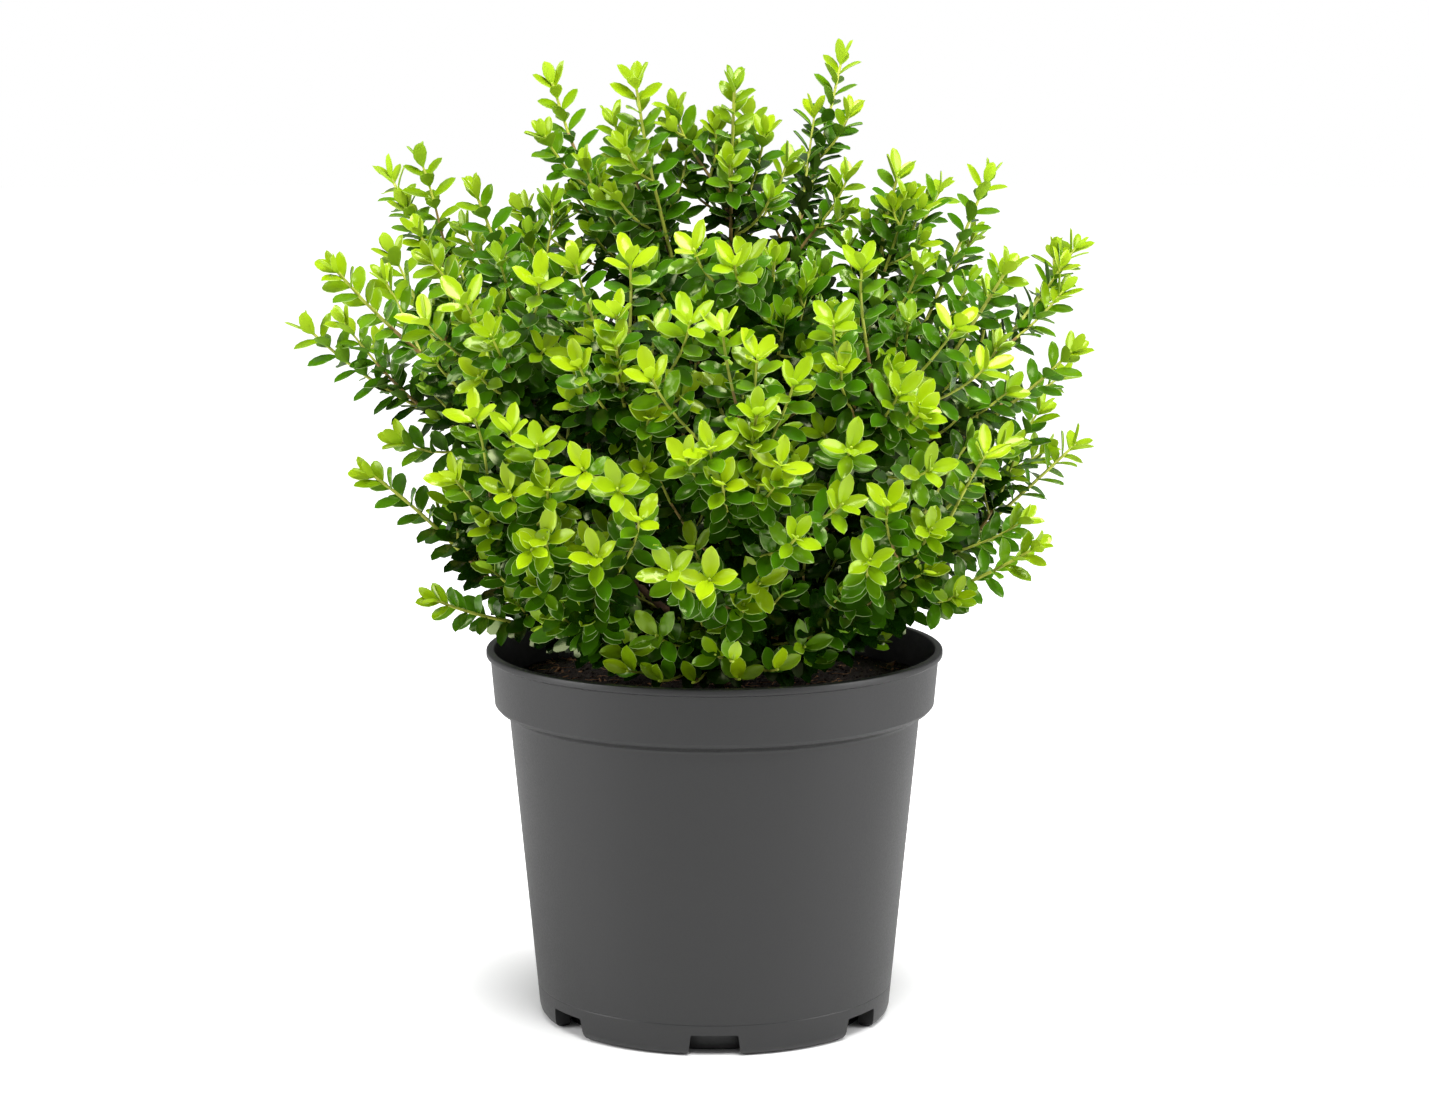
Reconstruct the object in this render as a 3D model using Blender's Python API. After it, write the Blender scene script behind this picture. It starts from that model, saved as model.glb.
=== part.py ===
"""Potted boxwood: a small evergreen shrub in a round nursery pot.

Metres, +Z up. The origin is the centre of the pot's underside, and -Y is the shrub's front.
The shrub stands on a short stem. Boughs fan out from it, and each carries one mass of leafy
shoots that keeps to its own cone of space, so that no two masses touch.
"""

import math
import random
from collections import namedtuple

import bmesh
import bpy
from mathutils import Matrix, Vector
from mathutils.bvhtree import BVHTree

# Pot: heights are above its underside, radii are of its outer face
POT_HEIGHT = 0.229
RIM_RADIUS = 0.140
BAND_TOP_RADIUS = 0.1375
BAND_FOOT_RADIUS = 0.1350
BAND_HEIGHT = 0.034
STEP_DROP = 0.006
WALL_TOP_RADIUS = 0.1262
WALL_FOOT_RADIUS = 0.1100
FOOT_LINE = 0.020
CORNER_RADIUS = 0.0065
WALL = 0.0022
FLOOR = 0.0025
SEGMENTS = 40

# Underside: a flat disc, a raised channel round it and a notched ring at the edge. The notches' turns
# about Z are in degrees: one at the front, one at the back, and two nearer to each of them at the sides.
DISC_RADIUS = 0.0925
CHANNEL_HEIGHT = 0.0145
FOOT_RING = 0.0038
NOTCH_TURNS = (-90, -34.7, 34.7, 90, 145.3, 214.7)
NOTCH_HEIGHT = 0.0135
NOTCH_FOOT_WIDTH = 0.033
NOTCH_TOP_WIDTH = 0.027
DRAIN_LENGTH = 0.0035
DRAIN_WIDTH = 0.016

# Soil and stem
GAP = 0.0003
SOIL_TOP = 0.2072
SOIL_FLAT = 0.022
SOIL_DIP = 0.0032
STEM_HEIGHT = 0.036
STEM_RADIUS = 0.0092
STEM_HEAD = 0.0048
FLARE_RADIUS = 0.0165
FLARE_LOBES = 5
STEM_LEAN = 0.06

# Crown: every shoot points away from its base, lift is the shoot's angle above the horizontal, and
# reach is how far its tip is from that base. The skyline's shoots are listed from the right and left
# edges up, as they show from the front, and stand a little before or behind the middle in turn.
CROWN_BASE = Vector((0.0, 0.0, 0.198))
OUTLINE = (
    (10, 0.155), (17, 0.190), (30, 0.260), (41, 0.310), (50, 0.350), (60, 0.372), (75, 0.388), (90, 0.382),
)
LOWEST_LIFT = 15
LOWEST_INNER_LIFT = 28
RIGHT_SHOOTS = (
    (24.5, 0.222), (34.6, 0.279), (43.5, 0.312), (51.3, 0.362), (56.0, 0.322), (62.7, 0.367), (71.5, 0.343),
    (78.4, 0.410), (86.0, 0.372),
)
LEFT_SHOOTS = (
    (17.0, 0.190), (30.0, 0.260), (41.0, 0.336), (47.6, 0.360), (57.0, 0.383), (65.0, 0.342), (75.0, 0.397),
    (82.8, 0.385),
)
SKYLINE_DEPTHS = (-0.080, 0.045, -0.025, 0.090)
OUTER_SHOOTS = 45
INNER_SHOOTS = 16
INNER_REACH = 0.58
REACH_SPREAD = 0.06
WAY_TRIES = 40

# Masses: rings of boughs, as lift, number and bough length from the crown's base
BOUGH_RINGS = (("low", 22, 8, 0.066), ("high", 54, 6, 0.086), ("top", 90, 1, 0.098))
SETTLING_ROUNDS = 4
BOUGH_RADIUS = 0.0026
BOUGH_TIP = 0.0021
BOUGH_SIDES = 5
BOUGH_SEAT = 0.0035
CELL_MARGIN = 0.0007
MOUTH_RADIUS = 0.122
LOWEST_LEAF = 0.004
LIMB_CLEARANCE = 0.0012

# Twigs and leaves, drawn larger than life because there are fewer of them
TWIG_RADIUS = 0.0019
TWIG_TIP = 0.0012
TWIG_SIDES = 3
TIP_LEAVES = 0.022
LEAF_LENGTH = 0.041
LEAF_WIDTH = 0.0245
LEAF_THICK = 0.0020
RIDGE_PLACE = 0.34
TIP_BARE = 0.0012
TIP_LEAF_SIZE = 0.74
LEAF_LEANS = (32, 54, 62, 66, 70)
LEAF_PAIRS = 8
LEAF_TRIES = 5
PAIR_SPACING = 0.0140
PAIR_STRETCH = 0.25
PAIR_SHIFT = 0.0007

# Colours
BARK = (0.115, 0.062, 0.030)
LEAF_GREENS = ((0.085, 0.190, 0.020), (0.110, 0.235, 0.022), (0.065, 0.155, 0.018))
PLASTIC = (0.075, 0.076, 0.078)
PEAT = (0.030, 0.019, 0.012)

Node = namedtuple("Node", "place tangent frame turn rank")


def material(name, colour, roughness):
    """A plain material with the sub-part's own colour."""
    made = bpy.data.materials.get(name) or bpy.data.materials.new(name)
    made.use_nodes = True
    shader = made.node_tree.nodes["Principled BSDF"]
    shader.inputs["Base Color"].default_value = (*colour, 1.0)
    shader.inputs["Roughness"].default_value = roughness
    shader.inputs["Metallic"].default_value = 0.0
    return made


def piece(name, bm, finish, collection=None):
    """Turns a bmesh into a named object."""
    bmesh.ops.recalc_face_normals(bm, faces=bm.faces)
    mesh = bpy.data.meshes.new(name)
    bm.to_mesh(mesh)
    bm.free()
    mesh.materials.append(finish)
    made = bpy.data.objects.new(name, mesh)
    (collection or bpy.context.scene.collection).objects.link(made)
    return made


def arc(centre, radius, start, stop, steps):
    """Points of a round stretch of a profile, as (radius, height), angles in degrees."""
    angles = [math.radians(start + (stop - start) * step / steps) for step in range(steps + 1)]
    return [(centre[0] + radius * math.cos(a), centre[1] + radius * math.sin(a)) for a in angles]


def turned(profile):
    """A solid of revolution about Z from a profile that starts and ends on the axis."""
    bm = bmesh.new()
    points = [bm.verts.new((radius, 0.0, height)) for radius, height in profile]
    edges = [bm.edges.new(pair) for pair in zip(points, points[1:])]
    bmesh.ops.spin(
        bm, geom=points + edges, axis=(0, 0, 1), cent=(0, 0, 0), angle=math.tau, steps=SEGMENTS, use_merge=True,
    )
    bmesh.ops.remove_doubles(bm, verts=bm.verts, dist=1e-6)
    return bm


def smooth(made, angle=32):
    """Shades a round piece smooth, with its real edges kept sharp."""
    made.data.shade_smooth()
    made.data.set_sharp_from_angle(angle=math.radians(angle))


def wall_radius(height):
    """The outer radius of the tapering wall at a height."""
    share = (height - FOOT_LINE) / (POT_HEIGHT - BAND_HEIGHT - STEP_DROP - FOOT_LINE)
    return WALL_FOOT_RADIUS + share * (WALL_TOP_RADIUS - WALL_FOOT_RADIUS)


def pot_profile():
    """Half of the pot's section: underside, wall, rim band, then down the inside."""
    band_foot = POT_HEIGHT - BAND_HEIGHT
    step_foot = band_foot - STEP_DROP
    corner = (wall_radius(CORNER_RADIUS) - CORNER_RADIUS, CORNER_RADIUS)
    ring_inside = wall_radius(0) - CORNER_RADIUS - FOOT_RING
    channel = [(DISC_RADIUS, CHANNEL_HEIGHT), (ring_inside, CHANNEL_HEIGHT)]
    under = [(0, 0), (DISC_RADIUS, 0)] + channel + [(ring_inside, 0)]
    outside = arc(corner, CORNER_RADIUS, -90, 0, 2) + [
        (WALL_FOOT_RADIUS, FOOT_LINE),
        (WALL_TOP_RADIUS, step_foot),
        (BAND_FOOT_RADIUS - 0.0012, band_foot - 0.0010),
        (BAND_FOOT_RADIUS, band_foot + 0.0006),
        (BAND_TOP_RADIUS, POT_HEIGHT - 0.0055),
        (RIM_RADIUS, POT_HEIGHT - 0.0035),
        (RIM_RADIUS, POT_HEIGHT - 0.0010),
        (RIM_RADIUS - 0.0010, POT_HEIGHT),
    ]
    return under + outside + inner_profile()


def inner_profile(clearance=0.0):
    """The pot's inside from the rim down to the floor's centre, drawn in by a clearance."""
    band_foot = POT_HEIGHT - BAND_HEIGHT
    step_foot = band_foot - STEP_DROP
    shelf = CHANNEL_HEIGHT + FLOOR
    inside = [
        (BAND_TOP_RADIUS - WALL, POT_HEIGHT),
        (BAND_FOOT_RADIUS - WALL, band_foot + 0.0010),
        (WALL_TOP_RADIUS - WALL, step_foot + 0.0010),
        (wall_radius(shelf) - WALL, shelf),
        (DISC_RADIUS - FLOOR, shelf),
        (DISC_RADIUS - FLOOR, FLOOR),
        (0, FLOOR),
    ]
    return [(max(radius - clearance, 0), height + clearance) for radius, height in inside]


def wedge_cutter(name, turn, radii, widths, heights):
    """A block that tapers towards its top, laid along a radius and turned about Z."""
    bm = bmesh.new()
    bmesh.ops.create_cube(bm, size=1.0)
    for vert in bm.verts:
        level = 0 if vert.co.z < 0 else 1
        radius = radii[0 if vert.co.x < 0 else 1]
        vert.co = Vector((radius, math.copysign(widths[level] / 2, vert.co.y), heights[level]))
    bmesh.ops.rotate(bm, verts=bm.verts, cent=(0, 0, 0), matrix=Matrix.Rotation(turn, 3, "Z"))
    cutter = piece(name, bm, material("pot_plastic", PLASTIC, 0.5))
    cutter.hide_render = True
    cutter.display_type = "WIRE"
    return cutter


def cut(made, cutter):
    """Takes the cutter's shape out of a piece."""
    step = made.modifiers.new(cutter.name, "BOOLEAN")
    step.operation = "DIFFERENCE"
    step.solver = "EXACT"
    step.object = cutter


def build_pot():
    """The pot, with notches through its foot ring and a drain slot behind each."""
    pot = piece("pot", turned(pot_profile()), material("pot_plastic", PLASTIC, 0.5))
    smooth(pot)
    ring_inside = wall_radius(0) - CORNER_RADIUS - FOOT_RING
    middle = (DISC_RADIUS + ring_inside) / 2
    drain_radii = (middle - DRAIN_LENGTH / 2, middle + DRAIN_LENGTH / 2)
    drain_heights = (NOTCH_HEIGHT, CHANNEL_HEIGHT + FLOOR + 0.002)
    notch_widths = (NOTCH_FOOT_WIDTH, NOTCH_TOP_WIDTH)
    for label, degrees in enumerate(NOTCH_TURNS, 1):
        turn = math.radians(degrees)
        notch = wedge_cutter(f"notch_{label}", turn, (middle, RIM_RADIUS), notch_widths, (-0.005, NOTCH_HEIGHT))
        drain = wedge_cutter(f"drain_{label}", turn, drain_radii, (DRAIN_WIDTH, DRAIN_WIDTH), drain_heights)
        cut(pot, notch)
        cut(pot, drain)
    return pot


def build_soil():
    """The soil that fills the pot: its top dips and swells gently, but is flat round the stem."""
    filling = [point for point in inner_profile(GAP) if point[1] < SOIL_TOP]
    edge = BAND_FOOT_RADIUS - WALL - GAP
    rings = [(radius, SOIL_TOP) for radius in (0, SOIL_FLAT, 0.057, 0.094)]
    bm = turned(rings + [(edge, SOIL_TOP - SOIL_DIP / 2)] + filling)
    for vert in bm.verts:
        if abs(vert.co.z - SOIL_TOP) < 1e-5 and vert.co.xy.length > SOIL_FLAT + 0.001:
            wave = math.sin(58 * vert.co.x + 0.6) * math.cos(66 * vert.co.y - 0.4)
            vert.co.z -= SOIL_DIP * (1 + wave) / 2
    return piece("soil", bm, material("peat_soil", PEAT, 0.95))


def frames_along(path):
    """A frame at each point of a path, turned as little as possible from one to the next."""
    tangents = [(b - a).normalized() for a, b in zip(path, path[1:])]
    tangents.append(tangents[-1])
    side = tangents[0].orthogonal().normalized()
    frames = []
    for point, tangent in zip(path, tangents):
        side = (side - tangent * side.dot(tangent)).normalized()
        up = tangent.cross(side)
        frame = Matrix((side, up, tangent)).transposed().to_4x4()
        frame.translation = point
        frames.append(frame)
    return frames


def add_limb(bm, path, radii, sides):
    """A tapering limb with flat ends: one disc extruded from ring to ring along a path."""
    frames = frames_along(path)
    made = bmesh.ops.create_circle(bm, cap_ends=True, segments=sides, radius=radii[0], matrix=frames[0])
    face = made["verts"][0].link_faces[0]
    for before, after, thin, thick in zip(frames, frames[1:], radii[1:], radii):
        made = bmesh.ops.extrude_face_region(bm, geom=[face])
        if before is not frames[0]:
            bmesh.ops.delete(bm, geom=[face], context="FACES_ONLY")
        ring = [item for item in made["geom"] if isinstance(item, bmesh.types.BMVert)]
        move = after @ Matrix.Scale(thin / thick, 4) @ before.inverted()
        bmesh.ops.transform(bm, matrix=move, verts=ring)
        face = next(item for item in made["geom"] if isinstance(item, bmesh.types.BMFace))


def bend(start, start_way, end, end_way, steps):
    """Points on a smooth curve that leaves start along one way and reaches end along another."""
    pull = (end - start).length * 0.38
    first, last = start + start_way * pull, end - end_way * pull
    points = []
    for step in range(steps + 1):
        t = step / steps
        s = 1 - t
        points.append(start * s**3 + first * (3 * s * s * t) + last * (3 * s * t * t) + end * t**3)
    return points


def taper(first, last, count):
    """Radii that shrink evenly along a limb."""
    return [first + (last - first) * step / (count - 1) for step in range(count)]


def way(turn, lift):
    """A direction from its turn about Z and its lift above the horizontal, in degrees."""
    turn, lift = math.radians(turn), math.radians(lift)
    return Vector((math.cos(lift) * math.cos(turn), math.cos(lift) * math.sin(turn), math.sin(lift)))


def reach_at(lift):
    """How far the crown reaches from its base at a lift."""
    for (low, near), (high, far) in zip(OUTLINE, OUTLINE[1:]):
        if lift <= high:
            return near + (far - near) * (lift - low) / (high - low)
    return OUTLINE[-1][1]


def leaned(point):
    """A point of the upright stem, moved as far as the stem leans at that height."""
    rise = point.z - SOIL_TOP
    return point + Vector((STEM_LEAN * rise, 0.4 * STEM_LEAN * rise, 0.0))


def build_stem():
    """The short stem: root flare on the soil, taper, and a blunt head that the boughs leave."""
    foot = SOIL_TOP + GAP
    rings = (
        (FLARE_RADIUS, 0.0, 1.0),
        (FLARE_RADIUS * 0.80, 0.0030, 0.8),
        (STEM_RADIUS * 1.14, 0.0090, 0.4),
        (STEM_RADIUS, 0.0160, 0.0),
        (STEM_RADIUS * 0.98, 0.0255, 0.0),
        (STEM_HEAD, STEM_HEIGHT, 0.0),
    )
    bm = bmesh.new()
    path = [Vector((0, 0, foot + height)) for _, height, _ in rings]
    add_limb(bm, path, [radius for radius, _, _ in rings], 16)
    for vert in bm.verts:
        share = next(lobe for _, height, lobe in rings if abs(vert.co.z - foot - height) < 1e-5)
        turn = math.atan2(vert.co.y, vert.co.x)
        swell = 1 + 0.16 * share * math.cos(FLARE_LOBES * turn)
        vert.co.x, vert.co.y = vert.co.x * swell, vert.co.y * swell
        vert.co = leaned(vert.co)
    stem = piece("stem", bm, material("bark", BARK, 0.85))
    smooth(stem, 40)
    return stem


def bough_path(ring, axis, turn, length):
    """A bough's course, from the stem's side, shoulder or top to the tip where its mass begins."""
    foot = SOIL_TOP + GAP
    outward = way(turn, 0)
    if ring == "low":
        start = leaned(Vector((0, 0, foot + 0.0205)) + outward * (STEM_RADIUS + GAP))
        start_way = outward
    elif ring == "high":
        start_way = way(turn, 24)
        shoulder = outward * (STEM_RADIUS * 0.98 + STEM_HEAD) / 2
        start = leaned(Vector((0, 0, foot + 0.0310)) + shoulder) + way(turn, 22) * 0.0004
    else:
        start = leaned(Vector((0, 0, foot + STEM_HEIGHT + GAP)))
        start_way = Vector((0, 0, 1))
    return [start] + bend(start + start_way * BOUGH_SEAT, start_way, CROWN_BASE + axis * length, axis, 3)


def spread_ways(count, taken, lift, draw):
    """Directions spread evenly above a lift, each the farthest of a few tries from those before."""
    lowest = math.sin(math.radians(lift))
    found = []
    while len(found) < count:
        tries = []
        for _ in range(WAY_TRIES):
            turn = draw.uniform(0, 360)
            tries.append(way(turn, math.degrees(math.asin(draw.uniform(lowest, 1)))))
        before = taken + found
        found.append(min(tries, key=lambda heading: max((heading.dot(other) for other in before), default=0)))
    return found


def shoot_ways():
    """Each shoot's direction and reach: the skyline's, others evenly between, and short inner ones."""
    draw = random.Random(5)
    shoots = []
    for side, tips in ((1, RIGHT_SHOOTS), (-1, LEFT_SHOOTS)):
        for number, (lift, reach) in enumerate(tips):
            tip = way(0, lift) * reach
            tip = Vector((side * tip.x, side * SKYLINE_DEPTHS[number % len(SKYLINE_DEPTHS)], tip.z))
            shoots.append((tip.normalized(), tip.length))
    skyline = [heading for heading, _ in shoots]
    outer = (OUTER_SHOOTS - len(shoots), skyline, LOWEST_LIFT, 1.0)
    inner = (INNER_SHOOTS, [], LOWEST_INNER_LIFT, INNER_REACH)
    for count, taken, lift, share in (outer, inner):
        for heading in spread_ways(count, taken, lift, draw):
            reach = reach_at(math.degrees(math.asin(heading.z))) * share
            shoots.append((heading, reach * draw.uniform(1 - 2 * REACH_SPREAD, 1 + REACH_SPREAD / 2)))
    return shoots


def in_space(point, axis, others, room=0.0):
    """Whether a point, with room round it, lies in a mass's own cone, over the soil and clear of the rim."""
    floor = POT_HEIGHT if point.xy.length > MOUTH_RADIUS else SOIL_TOP
    if point.z < floor + LOWEST_LEAF + room:
        return False
    offset = point - CROWN_BASE
    return all(offset.dot(axis - other) > (CELL_MARGIN + room) * (axis - other).length for other in others)


def clear_of(point, limb, radius):
    """Whether a point keeps its distance from a bough."""
    for a, b in zip(limb, limb[1:]):
        run = b - a
        share = min(max((point - a).dot(run) / run.length_squared, 0.0), 1.0)
        if (point - a - run * share).length < radius + LIMB_CLEARANCE:
            return False
    return True


def leaf_shape(root, along, face, length, width):
    """A blunt leaf of eight faces: a flattened five-sided cone with its root at one corner."""
    bm = bmesh.new()
    across = along.cross(face).normalized()
    made = bmesh.ops.create_cone(bm, cap_ends=True, segments=5, radius1=1.0, radius2=0.0, depth=1.0)
    outline = ((0.0, 0.0), (0.46, 0.5), (1.0, 0.19), (1.0, -0.19), (0.46, -0.5))
    rim = [vert for vert in made["verts"] if vert.co.z < 0]
    rim.sort(key=lambda vert: math.atan2(vert.co.x, -vert.co.y) % math.tau)
    ridge = next(vert for vert in made["verts"] if vert not in rim)
    ridge.co = root + along * (RIDGE_PLACE * length) + face * LEAF_THICK
    for vert, (run, side) in zip(rim, outline):
        vert.co = root + along * (run * length) + across * (side * width)
    return bm


def nodes_along(path, draw):
    """The nodes of a shoot, where it bears its crosswise pairs of leaves, from the tip inwards."""
    frames = frames_along(path)
    turn = draw.uniform(0, math.pi)
    nodes = []
    back = TIP_BARE
    for rank in range(LEAF_PAIRS):
        index, left = len(path) - 1, back
        while index > 0 and left > (path[index] - path[index - 1]).length:
            left -= (path[index] - path[index - 1]).length
            index -= 1
        if index == 0:
            break
        tangent = (path[index] - path[index - 1]).normalized()
        place = path[index] - tangent * left
        nodes.append(Node(place, tangent, frames[index].to_3x3(), turn + rank * math.pi / 2, rank))
        back += PAIR_SPACING * (1 + PAIR_STRETCH * rank)
    return nodes


def grown_leaf(node, half, draw):
    """One leaf of a pair, tilted more the further it is from the tip."""
    lean = math.radians(LEAF_LEANS[min(node.rank, len(LEAF_LEANS) - 1)] + draw.uniform(-9, 9))
    angle = node.turn + half * math.pi + draw.uniform(-0.35, 0.35)
    side = node.frame @ Vector((math.cos(angle), math.sin(angle), 0.0))
    side = (side - node.tangent * side.dot(node.tangent)).normalized()
    along = node.tangent * math.cos(lean) + side * math.sin(lean)
    face = node.tangent * math.sin(lean) - side * math.cos(lean)
    size = (1.0 if node.rank else TIP_LEAF_SIZE) * draw.uniform(0.88, 1.06)
    root = node.place + node.tangent * (PAIR_SHIFT if half else -PAIR_SHIFT)
    return leaf_shape(root, along, face, LEAF_LENGTH * size, LEAF_WIDTH * size)


def twig_limb(stem, heading, end, axis, draw):
    """The course and radii of a twig that branches from a mass's stem and runs to its end."""
    spread = math.acos(min(heading.dot(axis), 1.0))
    branch = draw.uniform(0.12, 0.34) * (len(stem) - 1) / (1 + spread)
    low = int(branch)
    root = stem[low].lerp(stem[low + 1], branch - low)
    outwards = (end - root).normalized()
    stem_way = (stem[low + 1] - stem[low]).normalized()
    path = bend(root, (stem_way + outwards).normalized(), end, (outwards + heading).normalized(), 3)
    return path, taper(TWIG_RADIUS, TWIG_TIP, len(path))


def build_mass(name, axis, others, bough, shoots, seed):
    """One mass of foliage: a stem that grows on from the bough, twigs that branch from it, and leaves."""
    draw = random.Random(seed)
    green = seed % len(LEAF_GREENS)
    finish = material(f"foliage_{green + 1}", LEAF_GREENS[green], 0.45)
    parts = bpy.data.collections.new(f"{name}_parts")
    bpy.context.scene.collection.children.link(parts)
    paths = []
    for heading, reach in sorted(shoots, key=lambda shoot: -shoot[0].dot(axis)):
        end = CROWN_BASE + heading * (reach - TIP_LEAVES)
        if paths:
            path, radii = twig_limb(paths[0], heading, end, axis, draw)
        else:
            bough_way = (bough[-1] - bough[-2]).normalized()
            path = bend(bough[-1] + bough_way * GAP, bough_way, end, heading, 5)
            radii = taper(BOUGH_TIP, TWIG_TIP, len(path))
        if not all(in_space(point, axis, others, TWIG_RADIUS) for point in path[1:]):
            continue
        bm = bmesh.new()
        add_limb(bm, path, radii, TWIG_SIDES)
        if paths:
            piece(f"{name}_twig", bm, finish, parts)
        else:
            main = piece(name, bm, finish)
        paths.append(path)
    add_leaves(name, axis, others, bough, paths, parts, finish, draw)
    fuse(main, parts)


def add_leaves(name, axis, others, bough, paths, parts, finish, draw):
    """Leaves in pairs, tips first, each turned again if it leaves its space or meets another pair."""
    nodes = [node for path in paths for node in nodes_along(path, draw)]
    grown = []
    for node in sorted(nodes, key=lambda node: node.rank):
        for half in (0, 1):
            for _ in range(LEAF_TRIES):
                bm = grown_leaf(node, half, draw)
                shape = BVHTree.FromBMesh(bm)
                inside = all(in_space(vert.co, axis, others) for vert in bm.verts)
                clear = all(clear_of(vert.co, bough, BOUGH_RADIUS) for vert in bm.verts)
                meets = any(shape.overlap(other) for other, owner in grown if owner is not node)
                if inside and clear and not meets:
                    grown.append((shape, node))
                    piece(f"{name}_leaf", bm, finish, parts)
                    break
                bm.free()


def fuse(main, parts):
    """Joins a collection's shapes to the main one as a single closed body."""
    union = main.modifiers.new("union", "BOOLEAN")
    union.operation = "UNION"
    union.solver = "EXACT"
    union.operand_type = "COLLECTION"
    union.collection = parts
    bpy.context.view_layer.update()
    fused = bpy.data.meshes.new_from_object(main.evaluated_get(bpy.context.evaluated_depsgraph_get()))
    main.modifiers.clear()
    main.data = fused
    for spent in list(parts.objects):
        bpy.data.objects.remove(spent)
    bpy.data.collections.remove(parts)
    keep_largest(fused)


def keep_largest(mesh):
    """Drops loose scraps and fills sealed hollows, so that one outer skin is left."""
    bm = bmesh.new()
    bm.from_mesh(mesh)
    unseen, skins = set(bm.faces), []
    while unseen:
        skin, waiting = set(), [unseen.pop()]
        while waiting:
            face = waiting.pop()
            skin.add(face)
            near = {other for edge in face.edges for other in edge.link_faces} & unseen
            unseen -= near
            waiting.extend(near)
        skins.append(skin)
    largest = max(skins, key=len)
    bmesh.ops.delete(bm, geom=[face for face in bm.faces if face not in largest], context="FACES")
    bmesh.ops.triangulate(bm, faces=bm.faces)
    bm.to_mesh(mesh)
    bm.free()


def nearest(axes, heading):
    """Which axis a direction is closest to."""
    return max(range(len(axes)), key=lambda number: heading.dot(axes[number]))


def settled(axes, headings):
    """Each mass's axis moved to the middle of the shoots that are nearest to it."""
    for _ in range(SETTLING_ROUNDS):
        sums = [axis.copy() for axis in axes]
        for heading in headings:
            sums[nearest(axes, heading)] += heading
        axes = [total.normalized() for total in sums]
    return axes


def build_crown():
    """Boughs in rings round the stem, each with the mass of shoots nearest to its axis."""
    plan = []
    for ring, lift, number, length in BOUGH_RINGS:
        for index in range(number):
            label = ring if number == 1 else f"{ring}_{index + 1}"
            plan.append((label, ring, lift, 360 * index / number, length))
    shoots = shoot_ways()
    axes = settled([way(turn, lift) for _, _, lift, turn, _ in plan], [heading for heading, _ in shoots])
    bark = material("bark", BARK, 0.85)
    for number, (label, ring, _, turn, length) in enumerate(plan):
        path = bough_path(ring, axes[number], turn, length)
        bm = bmesh.new()
        add_limb(bm, path, taper(BOUGH_RADIUS, BOUGH_TIP, len(path)), BOUGH_SIDES)
        piece(f"bough_{label}", bm, bark)
        others = axes[:number] + axes[number + 1:]
        share = [shoot for shoot in shoots if nearest(axes, shoot[0]) == number]
        build_mass(f"foliage_{label}", axes[number], others, path, share, number)


def main():
    """Clears the scene and builds the pot, the soil and the shrub."""
    for old in list(bpy.data.objects):
        bpy.data.objects.remove(old)
    build_pot()
    build_soil()
    build_stem()
    build_crown()


main()
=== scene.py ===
"""Potted boxwood: bark, twigs, leaves, soil and pot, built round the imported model.

Metres, +Z up. The origin is the centre of the pot's underside, and -Y is the shrub's front.
The crown's rule is the one of the solids: every shoot points away from one base, and boughs carry
masses of shoots. Here each mass is carried on to finer shoots, side twigs, leaf pairs and buds.
"""

import functools
import math
import random
from collections import namedtuple

import bmesh
import bpy
import numpy as np
from bpy.props import FloatProperty, FloatVectorProperty, IntProperty, PointerProperty
from mathutils import Matrix, Vector, noise


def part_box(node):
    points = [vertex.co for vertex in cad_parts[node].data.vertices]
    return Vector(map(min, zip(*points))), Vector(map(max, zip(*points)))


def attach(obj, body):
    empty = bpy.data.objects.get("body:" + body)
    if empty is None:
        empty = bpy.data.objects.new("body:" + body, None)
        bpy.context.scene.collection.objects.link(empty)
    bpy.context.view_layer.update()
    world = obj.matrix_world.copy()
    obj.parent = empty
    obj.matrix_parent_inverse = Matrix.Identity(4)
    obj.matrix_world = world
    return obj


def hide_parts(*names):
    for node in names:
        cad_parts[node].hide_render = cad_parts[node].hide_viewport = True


bl_info = {
    "name": "Potted Boxwood",
    "version": (1, 0, 0),
    "blender": (4, 5, 0),
    "location": "3D Viewport > Sidebar > Boxwood",
    "description": "Builds a potted boxwood with its bark, twigs, leaves and soil, in a plain studio",
    "category": "Add Mesh",
}

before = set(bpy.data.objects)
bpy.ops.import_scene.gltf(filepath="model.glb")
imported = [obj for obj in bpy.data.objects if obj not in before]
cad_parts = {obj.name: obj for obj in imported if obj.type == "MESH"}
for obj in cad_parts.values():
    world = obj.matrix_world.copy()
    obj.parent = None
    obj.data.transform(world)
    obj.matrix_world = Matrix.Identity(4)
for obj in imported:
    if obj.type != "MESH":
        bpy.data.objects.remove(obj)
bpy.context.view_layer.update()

# Pot: heights are above its underside, radii are of its outer face
POT_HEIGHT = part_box("pot")[1].z
RIM_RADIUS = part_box("pot")[1].x
BAND_TOP_RADIUS = RIM_RADIUS - 0.0025
BAND_FOOT_RADIUS = RIM_RADIUS - 0.0050
BAND_HEIGHT = 0.034
STEP_DROP = 0.006
WALL_TOP_RADIUS = 0.1262
WALL_FOOT_RADIUS = 0.1100
FOOT_LINE = 0.020
FOOT_GROOVE = 0.0002
CORNER_RADIUS = 0.0065
WALL = 0.0022
FLOOR = 0.0025
LIP_HEIGHT = 0.0045
DISC_RADIUS = 0.0925
CHANNEL_HEIGHT = 0.0145
FOOT_RING = 0.0038
NOTCH_TURNS = (-90, -34.7, 34.7, 90, 145.3, 214.7)
NOTCH_HEIGHT = 0.0135
NOTCH_FOOT_WIDTH = 0.031
NOTCH_TOP_WIDTH = 0.027
NOTCH_FLARE = 0.002
DRAIN_LENGTH = 0.0035
DRAIN_WIDTH = 0.016

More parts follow.
